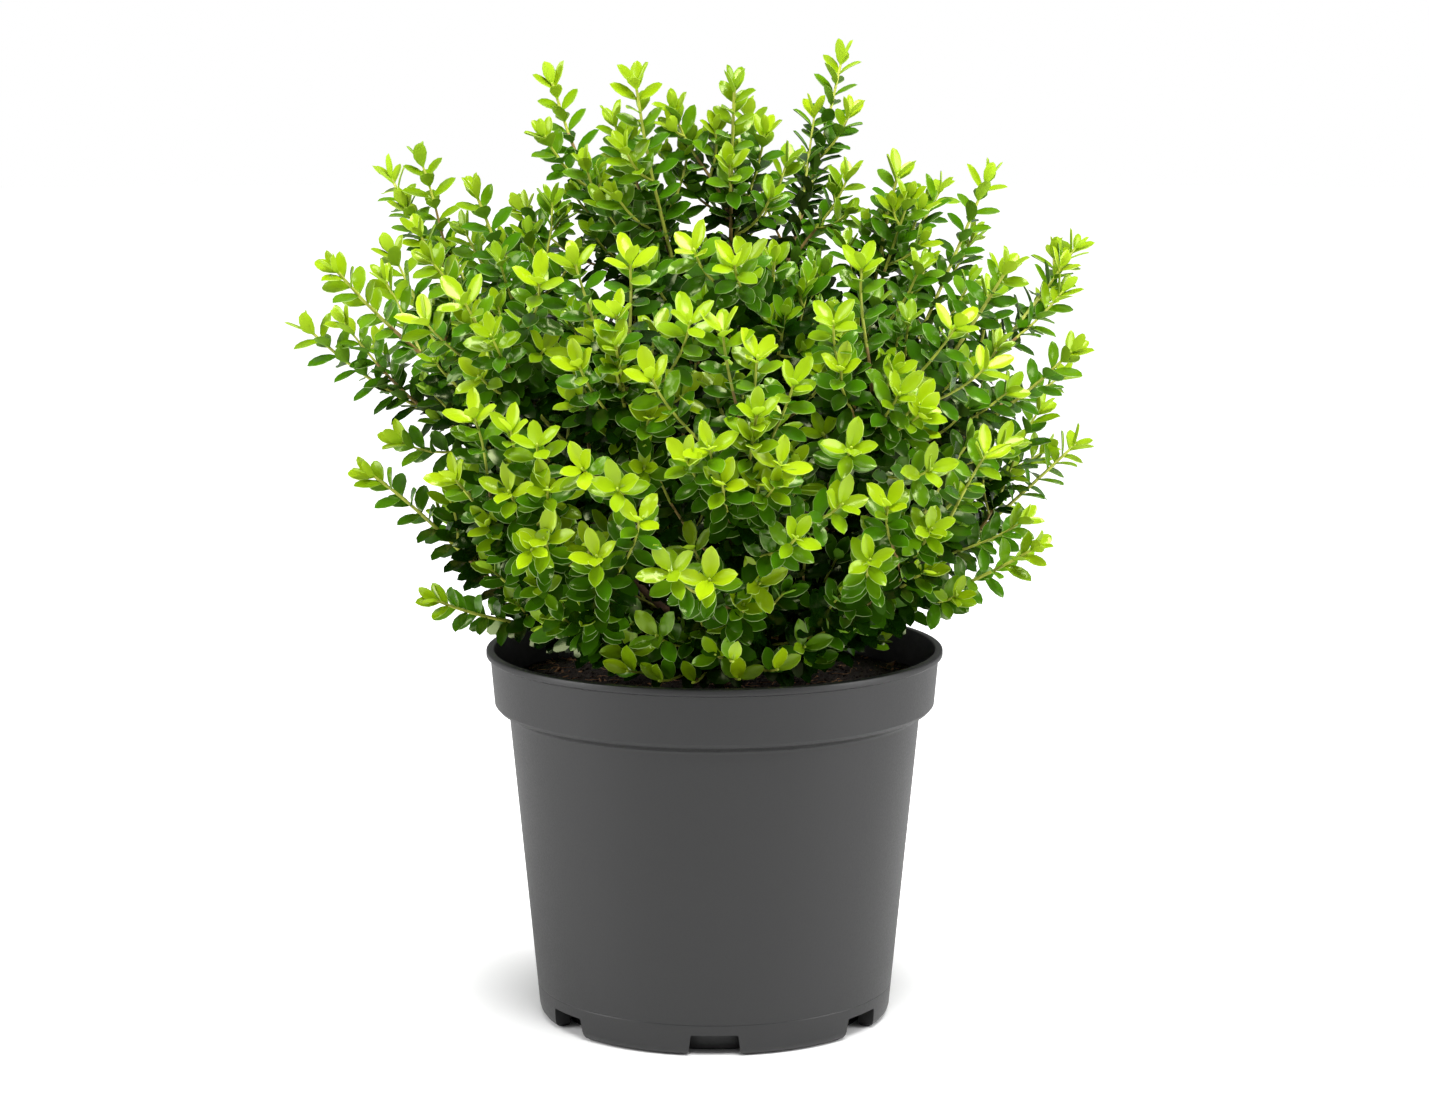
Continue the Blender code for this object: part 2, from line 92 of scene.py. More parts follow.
# Soil and stem
GAP = 0.0003
SOIL_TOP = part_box("soil")[1].z
SOIL_FLAT = 0.022
SOIL_DIP = 0.0032
SOIL_STEPS = 160
STEM_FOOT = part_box("stem")[0].z
STEM_HEIGHT = 0.036
STEM_RADIUS = 0.0092
STEM_HEAD = 0.0048
FLARE_RADIUS = 0.0165
FLARE_LOBES = 5
STEM_LEAN = 0.06
STEM_RINGS = 28
CRUMB_SEED = 11
CHIP_SEED = 12
FIBRE_SEED = 13

# The stem's radius, and how strongly its foot is lobed, by height above the soil
STEM_WIDTHS = (
    (0.0, FLARE_RADIUS), (0.0030, FLARE_RADIUS * 0.80), (0.0090, STEM_RADIUS * 1.14), (0.0160, STEM_RADIUS),
    (0.0255, STEM_RADIUS * 0.98), (STEM_HEIGHT, STEM_HEAD),
)
STEM_LOBES = ((0.0, 1.0), (0.0030, 0.8), (0.0090, 0.4), (0.0160, 0.0), (STEM_HEIGHT, 0.0))

# Crown: lift is a shoot's angle above the horizontal at the crown's base, in degrees, and reach is how
# far its tip is from that base. The skyline's shoots are listed from the right and left edges up, each
# with the place where its stem is seen to end, across and up in the pot's middle plane, and its depth, in
# millimetres.
CROWN_BASE = Vector((0.0, 0.0, 0.198))
OUTLINE = (
    (10, 0.155), (17, 0.190), (30, 0.260), (41, 0.310), (50, 0.350), (60, 0.372), (75, 0.388), (90, 0.382),
)
LOWEST_LIFT = 15
LOWEST_INNER_LIFT = 28
CLEAR_LIFT = 29
BRANCH_ANGLE = math.radians(30)
BRANCH_LENGTH = 0.085
RIGHT_SHOOTS = (
    (24.5, 0.222, 195, 289, -80), (34.6, 0.279, 218, 352, 45), (43.5, 0.312, 216, 410, -25),
    (51.3, 0.362, 217, 472, 90), (56.0, 0.322, 176, 459, -80), (62.7, 0.367, 164, 514, 45),
    (71.5, 0.343, 110, 516, -25), (78.4, 0.410, 76, 585, 90), (86.0, 0.372, 12, 569, -80),
)
LEFT_SHOOTS = (
    (17.0, 0.190, -170, 257, -60), (30.0, 0.260, -209, 335, -45), (41.0, 0.336, -244, 422, 25),
    (47.6, 0.360, -229, 460, -90), (57.0, 0.383, -194, 514, 80), (65.0, 0.342, -143, 504, -45),
    (75.0, 0.397, -97, 571, 25), (82.8, 0.385, -47, 570, -90),
)
# The dense body of the crown as the front shows it, as lift and reach in the middle plane: between the
# skyline's shoots there is sky down to here
LEFT_BODY = (
    (10, 0.100), (18, 0.106), (24, 0.120), (30, 0.132), (36, 0.186), (42, 0.232), (48, 0.282), (54, 0.294),
    (60, 0.292), (66, 0.276), (72, 0.264), (78, 0.280), (84, 0.290), (90, 0.292),
)
RIGHT_BODY = (
    (10, 0.086), (18, 0.092), (24, 0.102), (30, 0.170), (36, 0.202), (42, 0.224), (48, 0.252), (54, 0.274),
    (60, 0.258), (66, 0.280), (72, 0.280), (78, 0.292), (84, 0.290), (90, 0.292),
)
BODY_LEAVES = 0.020
OUTER_SHOOTS = 45
INNER_SHOOTS = 16
INNER_REACH = 0.58
REACH_SPREAD = 0.06
WAY_TRIES = 40
UP = Vector((0.0, 0.0, 1.0))

# Masses: rings of boughs, as lift, number and bough length from the crown's base
BOUGH_RINGS = (("low", 22, 8, 0.066), ("high", 54, 6, 0.086), ("top", 90, 1, 0.098))
SETTLING_ROUNDS = 4
BOUGH_RADIUS = 0.0026
BOUGH_TIP = 0.0021
BOUGH_SEAT = 0.0035
MOUTH_RADIUS = 0.122
LOWEST_LEAF = 0.003
SKIRT_RADIUS = 0.066
SKIRT_SLOPE = 0.52

# Finer shoots: those that the photograph shows are listed by where their stems are seen to end, across
# and up in the middle plane, and by their depth, in millimetres. Others are spread evenly between them
# and the main ones, and filling ones stay inside the crown. Each kind, the main shoots too, has a range
# for its youngest leaves' size and one for its vigour.
EDGE_SHOOTS = (
    (-194, 469, -30), (-176, 524, 40), (-171, 465, -60), (-114, 494, 60), (-190, 355, -40), (-136, 276, -50),
    (-224, 427, 10), (210, 446, 60), (136, 508, 20), (80, 515, 30), (197, 374, 20), (188, 306, -60),
    (60, 553, 70), (-52, 511, 60), (200, 349, 60), (174, 353, -60), (-98, 500, -20), (128, 462, -20),
    (122, 445, 50), (-150, 482, -20), (-158, 470, 40), (-24, 556, -70), (30, 541, -60), (-60, 548, -60),
    (117, 503, -40), (-77, 521, -20),
)
FRONT_SHOOTS = (
    (-106, 452, -180), (-84, 463, -182), (-51, 463, -192), (-12, 471, -192), (-151, 440, -160),
    (-135, 419, -178), (-175, 428, -141), (-82, 401, -207), (-60, 414, -210), (-38, 394, -217),
    (-15, 427, -215), (5, 422, -216), (26, 406, -217), (12, 463, -197), (72, 427, -205), (89, 461, -181),
    (77, 399, -208), (48, 390, -216), (112, 384, -197), (146, 425, -169), (-146, 370, -177),
    (-124, 362, -191), (-108, 352, -199), (-80, 338, -209), (-125, 324, -188), (-102, 326, -200),
    (-59, 326, -214), (-3, 351, -222), (23, 356, -221), (-17, 344, -221), (40, 341, -219), (83, 351, -209),
    (77, 316, -208), (106, 316, -196), (50, 296, -211), (5, 329, -221), (-27, 275, -207), (-3, 270, -207),
    (-72, 284, -201), (164, 400, -159), (165, 347, -160), (131, 338, -186), (-104, 295, -193),
    (-46, 307, -214), (-158, 332, -164), (95, 282, -192), (132, 301, -178),
)
LOW_SHOOTS = (
    (13, 245, -125), (-35, 235, -115), (-52, 213, -105), (1, 223, -120), (38, 214, -115), (72, 240, -100),
    (90, 253, -100), (-86, 258, -120), (-15, 233, -100), (-104, 242, -100), (-64, 239, -80), (-13, 206, -112),
    (15, 208, -112), (-33, 207, -108), (55, 228, -105), (-52, 226, -100),
)
SEEN_SHOOTS = (
    (EDGE_SHOOTS, (0.68, 0.84), (0.7, 2.0)), (FRONT_SHOOTS, (0.88, 1.05), (0.2, 1.1)),
    (LOW_SHOOTS, (0.90, 1.05), (-0.2, 0.9)),
)
SPREAD_SHOOTS = 95
SPREAD_REACH = (0.72, 0.89)
SPREAD_SIZES = (0.60, 0.85)
SPREAD_VIGOURS = (-1.2, 0.4)
FILLING_SHOOTS = 105
FILLING_REACH = (0.42, 0.73)
FILLING_SIZE = 0.8
# Filling shoots' low vigour darkens their leaves: old leaves, and painted shade inside the crown.
FILLING_SHADE_VIGOUR = -1.5
SKIRT_SHOOTS = 40
SKIRT_LIFTS = (14, 44)
SKIRT_REACH = (0.070, 0.105)
SKIRT_SIZES = (0.75, 0.95)
SKIRT_VIGOURS = (-1.0, 0.4)
MAIN_SIZES = (0.74, 0.90)
MAIN_VIGOURS = (0.8, 2.0)
TIP_LEAVES = 0.012
SWEEP = 0.30

# Twigs: radii at foot and tip, and how far back from the tip they turn from green to brown bark, with
# the pace of that by a twig's order
MAIN_RADII = (0.0016, 0.0009)
FINER_RADII = (0.0011, 0.0007)
FILLING_RADII = (0.0010, 0.0007)
SIDE_RADII = (0.0009, 0.0007)
TWIG_STEPS = 10
STEM_STEPS = 14
YOUNG_LENGTH = 0.070
MIDDLE_LENGTH = 0.140
AGE_SPREAD = (0.65, 1.5)
AGE_PACES = (1.2, 0.75, 0.75)
BARE_CORE = 0.060
SIDE_TWIG_SPACING = (0.016, 0.024, 0.026, 0.030, 0.034)
SIDE_TWIG_TURNS = (100, 170)
SIDE_TWIG_LENGTHS = (0.45, 0.72)
LARGE_TIP = 0.75

# Leaves: rows as place along the leaf and share of its width, columns as share of the half width and
# height in thicknesses
LEAF_ROWS = ((0.0, 0.0), (0.08, 0.17), (0.26, 0.68), (0.50, 1.0), (0.74, 0.89), (0.91, 0.52), (1.0, 0.0))
LEAF_COLUMNS = ((-1.0, 0.0), (-0.92, 1.0), (0.0, 0.45), (0.92, 1.0), (1.0, 0.0))
INNER_LEAF_ROWS = ((0.0, 0.0), (0.20, 0.62), (0.55, 1.0), (0.88, 0.62), (1.0, 0.0))
INNER_LEAF_COLUMNS = ((-1.0, 0.0), (0.0, 0.5), (1.0, 0.0))
UNDER_COLUMNS = ((-1.0, 0.0), (0.0, -1.0), (1.0, 0.0))
LEAF_THICK = 0.00030

# By a pair's rank from the tip: lean from the shoot in degrees, share of the turn to the light, tone,
# gap to the next pair, growth, fold and droop
LEAF_LEANS = (26, 40, 45, 48, 51, 54, 57, 60)
LIGHT_TURNS = (0.45, 0.7, 0.9, 1.0)
RANK_TONES = (0.3, 0.8, 3.0, 4.4, 5.4)
PAIR_GAPS = (0.34, 0.75, 0.95, 1.0)
LEAF_SIZES = (0.0, 0.55, 0.85, 1.0)
LEAF_FOLDS = ((0.40, 0.75), (0.40, 0.75), (0.25, 0.60))
LEAF_DROOPS = ((-0.10, 0.04), (-0.10, 0.04), (0.02, 0.20))

# Tones: vigour keeps a shoot's leaves light; weakness and age darken them, and depth in the crown adds
# painted shade.
# Youngest leaves larger than the closed size open a shoot's tip.
OPENING = 90
CLOSED_SIZE = 0.80
VIGOUR_SHARE = 0.3
VIGOUR_LEAD = 0.1
WEAK_SHARE = 0.6
AGE_SHARE = 0.3
# Painted shade: past this depth inside the crown's outline, each step darkens a leaf by a tone.
DEPTH_SHADE_START = 0.012
DEPTH_SHADE_STEP = 0.036
TONE_SPREAD = 0.5
TONES = 8
INNER_TONES = 2
MASS_TONE = 2
SEED = 5

GRAIN_INPUTS = ("Scale", "Detail", "Low Roughness", "High Roughness")
Node = namedtuple("Node", "place tangent frame turn rank back")
Twig = namedtuple("Twig", "path radii order vigour tip_size")
Leaf = namedtuple("Leaf", "root along face length width fold droop tone")
Template = namedtuple("Template", "points faces slots")


def frame_of(vectors):
    """A 3 by 3 matrix with these vectors as its columns."""
    return Matrix(vectors).transposed()


def in_scene(name, data):
    """A new object for this data, in the scene."""
    made = bpy.data.objects.new(name, data)
    bpy.context.scene.collection.objects.link(made)
    return made


def link(name, mesh, finishes):
    """A finished piece: its object sits at the origin and rides with the model."""
    for finish in finishes:
        mesh.materials.append(finish)
    made = in_scene(name, mesh)
    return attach(made, "root")


def evaluated(made):
    """The mesh of an object as its modifiers or bevel make it; the object is removed."""
    bpy.context.view_layer.update()
    mesh = bpy.data.meshes.new_from_object(made.evaluated_get(bpy.context.evaluated_depsgraph_get()))
    bpy.data.objects.remove(made)
    return mesh


def mesh_of(name, bm):
    """A mesh from a bmesh, which is freed."""
    mesh = bpy.data.meshes.new(name)
    bm.to_mesh(mesh)
    bm.free()
    return mesh


def smooth(mesh, angle):
    """Shades a mesh smooth, with edges sharper than an angle in degrees kept."""
    mesh.shade_smooth()
    mesh.set_sharp_from_angle(angle=math.radians(angle))


def joined(name, template, points, finishes, angle=50):
    """One piece made of many copies of a closed shape, each with its own points."""
    count, size = points.shape[:2]
    faces = (template.faces[None] + np.arange(count)[:, None, None] * size).reshape(-1, 3)
    mesh = bpy.data.meshes.new(name)
    mesh.from_pydata(points.reshape(-1, 3).tolist(), [], faces.tolist())
    mesh.polygons.foreach_set("material_index", np.tile(template.slots, count))
    smooth(mesh, angle)
    return link(name, mesh, finishes)


def template_of(bm):
    """A bmesh's points, triangles and material numbers as arrays; the bmesh is freed."""
    bmesh.ops.triangulate(bm, faces=bm.faces)
    bm.verts.index_update()
    points = np.array([vert.co for vert in bm.verts])
    faces = np.array([[vert.index for vert in face.verts] for face in bm.faces])
    slots = np.array([face.material_index for face in bm.faces])
    bm.free()
    return Template(points, faces, slots)


# Materials
def new_material(name):
    """An empty material and its node tree, shader and Object coordinates."""
    made = bpy.data.materials.new(name)
    made.use_nodes = True
    tree = made.node_tree
    place = add_node(tree, "TexCoord")
    return made, tree, tree.nodes["Principled BSDF"], place.outputs["Object"]


def set_values(node, values):
    """Sets a node's inputs by name."""
    for name, value in values.items():
        node.inputs[name].default_value = value


def add_node(tree, kind, values=None, **choices):
    """A new shader node, with its choices and some of its inputs set."""
    node = tree.nodes.new(f"ShaderNode{kind}")
    for name, choice in choices.items():
        setattr(node, name, choice)
    set_values(node, values or {})
    return node


def wire(tree, *wires):
    """Connects nodes, each wire given as a node, its output, the next node and its input."""
    for source, output, target, entry in wires:
        tree.links.new(source.outputs[output], target.inputs[entry])


def start_group(name, inputs, outputs):
    """A shader node group with float or colour sockets, and its two ends."""
    tree = bpy.data.node_groups.new(name, "ShaderNodeTree")
    tree.interface.new_socket("Vector", in_out="INPUT", socket_type="NodeSocketVector")
    for label, kind, default in inputs:
        socket = tree.interface.new_socket(label, in_out="INPUT", socket_type=f"NodeSocket{kind}")
        socket.default_value = default
    for label, kind in outputs:
        tree.interface.new_socket(label, in_out="OUTPUT", socket_type=f"NodeSocket{kind}")
    start = tree.nodes.new("NodeGroupInput")
    end = tree.nodes.new("NodeGroupOutput")
    return tree, start, end


@functools.cache
def patches_group():
    """Slow patches of two colours, mixed by soft noise."""
    inputs = (("Scale", "Float", 10.0), ("First", "Color", (1, 1, 1, 1)), ("Second", "Color", (0, 0, 0, 1)))
    tree, start, end = start_group("patches", inputs, (("Color", "Color"),))
    clouds = add_node(tree, "TexNoise", {"Detail": 2.0, "Roughness": 0.5})
    spread = add_node(tree, "MapRange", {"From Min": 0.32, "From Max": 0.68})
    mix = add_node(tree, "Mix", data_type="RGBA")
    wire(
        tree, (start, "Vector", clouds, "Vector"), (start, "Scale", clouds, "Scale"),
        (clouds, "Fac", spread, "Value"), (spread, "Result", mix, "Factor"), (start, "First", mix, "A"),
        (start, "Second", mix, "B"), (mix, "Result", end, "Color"),
    )
    return tree


@functools.cache
def grain_group():
    """Fine grain: a height for bumps, and a roughness that varies a little with it."""
    inputs = zip(GRAIN_INPUTS, ("Float",) * 4, (400.0, 3.0, 0.4, 0.6))
    tree, start, end = start_group("grain", inputs, (("Height", "Float"), ("Roughness", "Float")))
    grains = add_node(tree, "TexNoise")
    wear = add_node(tree, "MapRange", {"From Min": 0.3, "From Max": 0.7})
    wire(
        tree, (start, "Vector", grains, "Vector"), (start, "Scale", grains, "Scale"),
        (start, "Detail", grains, "Detail"), (grains, "Fac", wear, "Value"),
        (start, "Low Roughness", wear, "To Min"), (start, "High Roughness", wear, "To Max"),
        (grains, "Fac", end, "Height"), (wear, "Result", end, "Roughness"),
    )
    return tree


def add_group(tree, group, vector, values):
    """Places a group in a material, reads a vector and sets its values."""
    node = add_node(tree, "Group", values, node_tree=group)
    tree.links.new(vector, node.inputs["Vector"])
    return node


def shifted(colour, change):
    """A colour made lighter or darker by a share."""
    return (*(min(channel * (1 + change), 1.0) for channel in colour[:3]), 1.0)


def mixed(first, second, share):
    """A colour part of the way between two."""
    return tuple(a + (b - a) * share for a, b in zip(first, second))


def patchy_finish(name, colour, contrast, scale, values, grain=None):
    """A finish whose colour drifts slowly between a little lighter and a little darker.

    Where grain is given, as the values of its inputs and the distance and strength of a bump, it roughens
    the surface.
    """
    made, tree, shader, place = new_material(name)
    tints = {"Scale": scale, "First": shifted(colour, -contrast), "Second": shifted(colour, contrast)}
    patches = add_group(tree, patches_group(), place, tints)
    wire(tree, (patches, "Color", shader, "Base Color"))
    if grain:
        *looks, distance, strength = grain
        grains = add_group(tree, grain_group(), place, dict(zip(GRAIN_INPUTS, looks)))
        bump = add_node(tree, "Bump", {"Strength": strength, "Distance": distance})
        wire(
            tree, (grains, "Roughness", shader, "Roughness"), (grains, "Height", bump, "Height"),
            (bump, "Normal", shader, "Normal"),
        )
    set_values(shader, values)
    return made


def plastic_finish(pot):
    """Moulded plastic with a fine matte grain."""
    grain = (900.0, 4.0, pot.roughness - 0.05, pot.roughness + 0.05, pot.grain, 0.5)
    return patchy_finish("pot_plastic", pot.colour, 0.06, 9.0, {"IOR": 1.46}, grain)


def soil_finish(soil):
    """Dark damp peat."""
    return patchy_finish("peat_soil", soil.colour, 0.6, 260.0, {}, (600.0, 6.0, 0.75, 1.0, 0.0015, 0.9))


def bark_finish(bark):
    """Brown bark in lighter and darker patches."""
    return patchy_finish("bark", bark.colour, 0.45, 140.0, {}, (700.0, 6.0, 0.7, 0.95, 0.0006, 0.8))


# Pot
def rounded(corners, steps=4):
    """A profile whose corners, as (radius, height, rounding), are turned into arcs."""
    points = []
    last = len(corners) - 1
    for index, (x, y, rounding) in enumerate(corners):
        corner = Vector((x, y))
        if rounding == 0 or index in (0, last):
            points.append((x, y))
            continue
        back = (Vector(corners[index - 1][:2]) - corner).normalized()
        ahead = (Vector(corners[index + 1][:2]) - corner).normalized()
        half = back.angle(ahead) / 2
        centre = corner + (back + ahead).normalized() * (rounding / math.sin(half))
        start = corner + back * (rounding / math.tan(half)) - centre
        sweep = start.angle_signed(corner + ahead * (rounding / math.tan(half)) - centre)
        for step in range(steps + 1):
            turn = -sweep * step / steps
            points.append(tuple(centre + Matrix.Rotation(turn, 2) @ start))
    return points


def turned(profile, steps):
    """A solid of revolution about Z from a profile that starts and ends on the axis."""
    bm = bmesh.new()
    points = [bm.verts.new((radius, 0.0, height)) for radius, height in profile]
    edges = [bm.edges.new(pair) for pair in zip(points, points[1:])]
    bmesh.ops.spin(
        bm, geom=points + edges, axis=(0, 0, 1), cent=(0, 0, 0), angle=math.tau, steps=steps, use_merge=True,
    )
    bmesh.ops.remove_doubles(bm, verts=bm.verts, dist=1e-6)
    bmesh.ops.recalc_face_normals(bm, faces=bm.faces)
    return bm


def wall_radius(height):
    """The outer radius of the tapering wall at a height."""
    share = (height - FOOT_LINE) / (POT_HEIGHT - BAND_HEIGHT - STEP_DROP - FOOT_LINE)
    return WALL_FOOT_RADIUS + share * (WALL_TOP_RADIUS - WALL_FOOT_RADIUS)


def ring_inside():
    """The inner radius of the foot ring."""
    return wall_radius(0) - CORNER_RADIUS - FOOT_RING


def inner_corners(clearance=0.0):
    """The pot's inside from the rim down to the floor's centre, drawn in by a clearance."""
    band_foot = POT_HEIGHT - BAND_HEIGHT
    shelf = CHANNEL_HEIGHT + FLOOR
    corners = (
        (BAND_TOP_RADIUS - WALL, POT_HEIGHT, 0.0009),
        (BAND_FOOT_RADIUS - WALL, band_foot + 0.0010, 0.0012),
        (WALL_TOP_RADIUS - WALL, band_foot - STEP_DROP + 0.0010, 0.0012),
        (wall_radius(shelf) - WALL, shelf, 0.0010),
        (DISC_RADIUS - FLOOR, shelf, 0.0010),
        (DISC_RADIUS - FLOOR, FLOOR, 0.0010),
        (0.0, FLOOR, 0.0),
    )
    return [(max(radius - clearance, 0.0), height + clearance, arc) for radius, height, arc in corners]


def pot_corners():
    """Half of the pot's section: underside, wall with its foot line, rim band and lip, then the inside."""
    band_foot = POT_HEIGHT - BAND_HEIGHT
    lip_foot = POT_HEIGHT - LIP_HEIGHT
    outside = [
        (0.0, 0.0, 0.0),
        (DISC_RADIUS, 0.0, 0.0010),
        (DISC_RADIUS, CHANNEL_HEIGHT, 0.0008),
        (ring_inside(), CHANNEL_HEIGHT, 0.0008),
        (ring_inside(), 0.0, 0.0008),
        (wall_radius(0), 0.0, CORNER_RADIUS),
        (wall_radius(FOOT_LINE - 0.0006), FOOT_LINE - 0.0006, 0.0002),
        (WALL_FOOT_RADIUS - FOOT_GROOVE, FOOT_LINE, 0.0),
        (wall_radius(FOOT_LINE + 0.0006), FOOT_LINE + 0.0006, 0.0002),
        (WALL_TOP_RADIUS, band_foot - STEP_DROP, 0.0030),
        (BAND_FOOT_RADIUS - 0.0020, band_foot - 0.0022, 0.0010),
        (BAND_FOOT_RADIUS, band_foot + 0.0002, 0.0012),
        (BAND_TOP_RADIUS, lip_foot - 0.0006, 0.0007),
        (RIM_RADIUS, lip_foot + 0.0006, 0.0008),
        (RIM_RADIUS, POT_HEIGHT, 0.0012),
    ]
    return outside + inner_corners()


def notch_cutter(name, turn):
    """A block with a trapezoid face, flared at its foot, that reaches from the channel out past the rim."""
    near = (DISC_RADIUS + ring_inside()) / 2
    half_foot, half_top = NOTCH_FOOT_WIDTH / 2, NOTCH_TOP_WIDTH / 2
    right = (
        (half_foot + NOTCH_FLARE, -0.005), (half_foot + NOTCH_FLARE, 0.0003), (half_foot, 0.0022),
        (half_top + 0.0008, NOTCH_HEIGHT - 0.0008), (half_top, NOTCH_HEIGHT),
    )
    outline = list(right) + [(-across, height) for across, height in reversed(right)]
    bm = bmesh.new()
    face = bm.faces.new([bm.verts.new((near, across, height)) for across, height in outline])
    made = bmesh.ops.extrude_face_region(bm, geom=[face])
    moved = [item for item in made["geom"] if isinstance(item, bmesh.types.BMVert)]
    bmesh.ops.translate(bm, verts=moved, vec=(RIM_RADIUS - near, 0, 0))
    return finished_cutter(name, bm, turn)


def drain_cutter(name, turn):
    """A block for the drain slot behind a notch."""
    middle = (DISC_RADIUS + ring_inside()) / 2
    height = CHANNEL_HEIGHT + FLOOR + 0.002 - NOTCH_HEIGHT
    place = Matrix.Translation((middle, 0.0, NOTCH_HEIGHT + height / 2))
    size = Matrix.Diagonal((DRAIN_LENGTH, DRAIN_WIDTH, height, 1.0))
    bm = bmesh.new()
    bmesh.ops.create_cube(bm, size=1.0, matrix=place @ size)
    return finished_cutter(name, bm, turn)


def finished_cutter(name, bm, turn):
    """A cutter in place: turned about Z, with its faces pointing out."""
    bmesh.ops.rotate(bm, verts=bm.verts, cent=(0, 0, 0), matrix=Matrix.Rotation(turn, 3, "Z"))
    bmesh.ops.recalc_face_normals(bm, faces=bm.faces)
    return in_scene(name, mesh_of(name, bm))


def cut_mesh(name, mesh, cutters):
    """A mesh with the cutters' shapes taken out of it; the cutters are removed."""
    blank = in_scene(name, mesh)
    for cutter in cutters:
        step = blank.modifiers.new(cutter.name, "BOOLEAN")
        step.operation = "DIFFERENCE"
        step.solver = "EXACT"
        step.object = cutter
    made = evaluated(blank)
    for cutter in cutters:
        bpy.data.objects.remove(cutter)
    made.name = name
    return made


# Soil
def soil_mesh():
    """The soil that fills the pot, with a gently waving, crumbly top."""
    edge = BAND_FOOT_RADIUS - WALL - GAP
    rings = [(edge * math.sqrt(step / SOIL_STEPS), SOIL_TOP) for step in range(SOIL_STEPS)]
    filling = [(radius, height) for radius, height, _ in inner_corners(GAP) if height < SOIL_TOP]
    bm = turned(rings + [(edge, SOIL_TOP - SOIL_DIP / 2)] + filling, SOIL_STEPS)
    for vert in bm.verts:
        if vert.co.z > SOIL_TOP - SOIL_DIP and vert.co.xy.length < edge + GAP:
            vert.co.z = soil_height(vert.co.x, vert.co.y)
    return mesh_of("soil", bm)


def soil_height(x, y):
    """How high the soil's surface is at a place: the solid's waves, with crumbs and lumps on them."""
    away = math.hypot(x, y)
    calm = min(max((away - SOIL_FLAT * 0.6) / SOIL_FLAT, 0.0), 1.0)
    wave = math.sin(58 * x + 0.6) * math.cos(66 * y - 0.4)
    lumps = noise.fractal(Vector((x, y, 0.0)) * 90, 0.8, 2.1, 3)
    crumbs = noise.noise(Vector((x, y, 0.3)) * 420)
    return SOIL_TOP - 0.0006 - calm * SOIL_DIP * (1 + wave) / 2 + 0.0011 * lumps + 0.0007 * crumbs


def litter_places(count, draw, lift):
    """Random places on the soil, each as a point and a random turned frame."""
    edge = BAND_FOOT_RADIUS - WALL - 0.004
    places = []
    while len(places) < count:
        x, y = draw.uniform(-edge, edge), draw.uniform(-edge, edge)
        if STEM_RADIUS * 1.3 < math.hypot(x, y) < edge:
            turn = Matrix.Rotation(draw.uniform(0, math.tau), 3, "Z")
            tilt = Matrix.Rotation(draw.gauss(0, 0.35), 3, "X") @ Matrix.Rotation(draw.gauss(0, 0.25), 3, "Y")
            places.append((Vector((x, y, soil_height(x, y) + lift)), turn @ tilt))
    return places


def lump_template(shape):
    """A small closed shape for crumbs and chips: a rough ball or a block with bevelled edges."""
    bm = bmesh.new()
    if shape == "ball":
        bmesh.ops.create_icosphere(bm, subdivisions=1, radius=0.5)
        for vert in bm.verts:
            vert.co *= 1 + 0.35 * noise.noise(vert.co * 3.1)
    else:
        bmesh.ops.create_cube(bm, size=1.0)
        for vert in bm.verts:
            vert.co.x *= 1 + 0.3 * vert.co.y
            vert.co.z *= 1 - 0.3 * vert.co.x
        bmesh.ops.subdivide_edges(bm, edges=bm.edges, cuts=1, use_grid_fill=True)
        for vert in bm.verts:
            vert.co *= 1 + 0.22 * noise.noise(vert.co * 2.3)
    return template_of(bm)


def placed(template, places, sizes):
    """The template's points at each place, scaled by that place's three sizes."""
    frames = np.array([turn for _, turn in places])
    origins = np.array([point for point, _ in places])
    local = template.points[None] * np.array(sizes)[:, None, :]
    return np.einsum("nij,npj->npi", frames, local) + origins[:, None]


def litter(name, shape, count, size_range, flatness, finish, seed):
    """Crumbs or chips strewn on the soil."""
    draw = random.Random(seed)
    places = litter_places(count, draw, 0.0001)
    sizes = []
    for _ in places:
        size = size_range[0] + (size_range[1] - size_range[0]) * draw.random() ** 2.2
        across = size * draw.uniform(0.45, 0.9) * flatness[0]
        up = size * draw.uniform(0.5, 0.9) * flatness[1]
        sizes.append((size, across, up))
    template = lump_template(shape)
    return joined(name, template, placed(template, places, sizes), [finish], 30)


def tube_mesh(name, limbs, resolution):
    """Limbs, as paths with their radii, in one mesh of closed round tubes."""
    curve = bpy.data.curves.new(name, "CURVE")
    curve.dimensions = "3D"
    curve.fill_mode = "FULL"
    curve.bevel_depth = 1.0
    curve.bevel_resolution = resolution
    curve.use_fill_caps = True
    for path, radii in limbs:
        spline = curve.splines.new("POLY")
        spline.points.add(len(path) - 1)
        spline.points.foreach_set("co", [value for point in path for value in (*point, 1.0)])
        spline.points.foreach_set("radius", radii)
    mesh = evaluated(in_scene(name, curve))
    bpy.data.curves.remove(curve)
    bm = bmesh.new()
    bm.from_mesh(mesh)
    bmesh.ops.remove_doubles(bm, verts=bm.verts, dist=1e-6)
    bmesh.ops.recalc_face_normals(bm, faces=bm.faces)
    bpy.data.meshes.remove(mesh)
    made = mesh_of(name, bm)
    smooth(made, 60)
    return made


def fibre_paths(count, draw):
    """Thin bent fibres lying on the soil."""
    limbs = []
    for place, turn in litter_places(count, draw, 0.0006):
        length = draw.uniform(0.005, 0.014)
        curl = draw.uniform(-1.2, 1.2)
        path = []
        for step in range(5):
            t = step / 4 - 0.5
            point = place + turn @ Vector((t * length, curl * t * t * length, 0.0))
            point.z = max(soil_height(point.x, point.y) + 0.0004, place.z + draw.uniform(-0.0004, 0.0009))
            path.append(point)
        limbs.append((path, taper(0.00028, 0.00012, 5)))
    return limbs


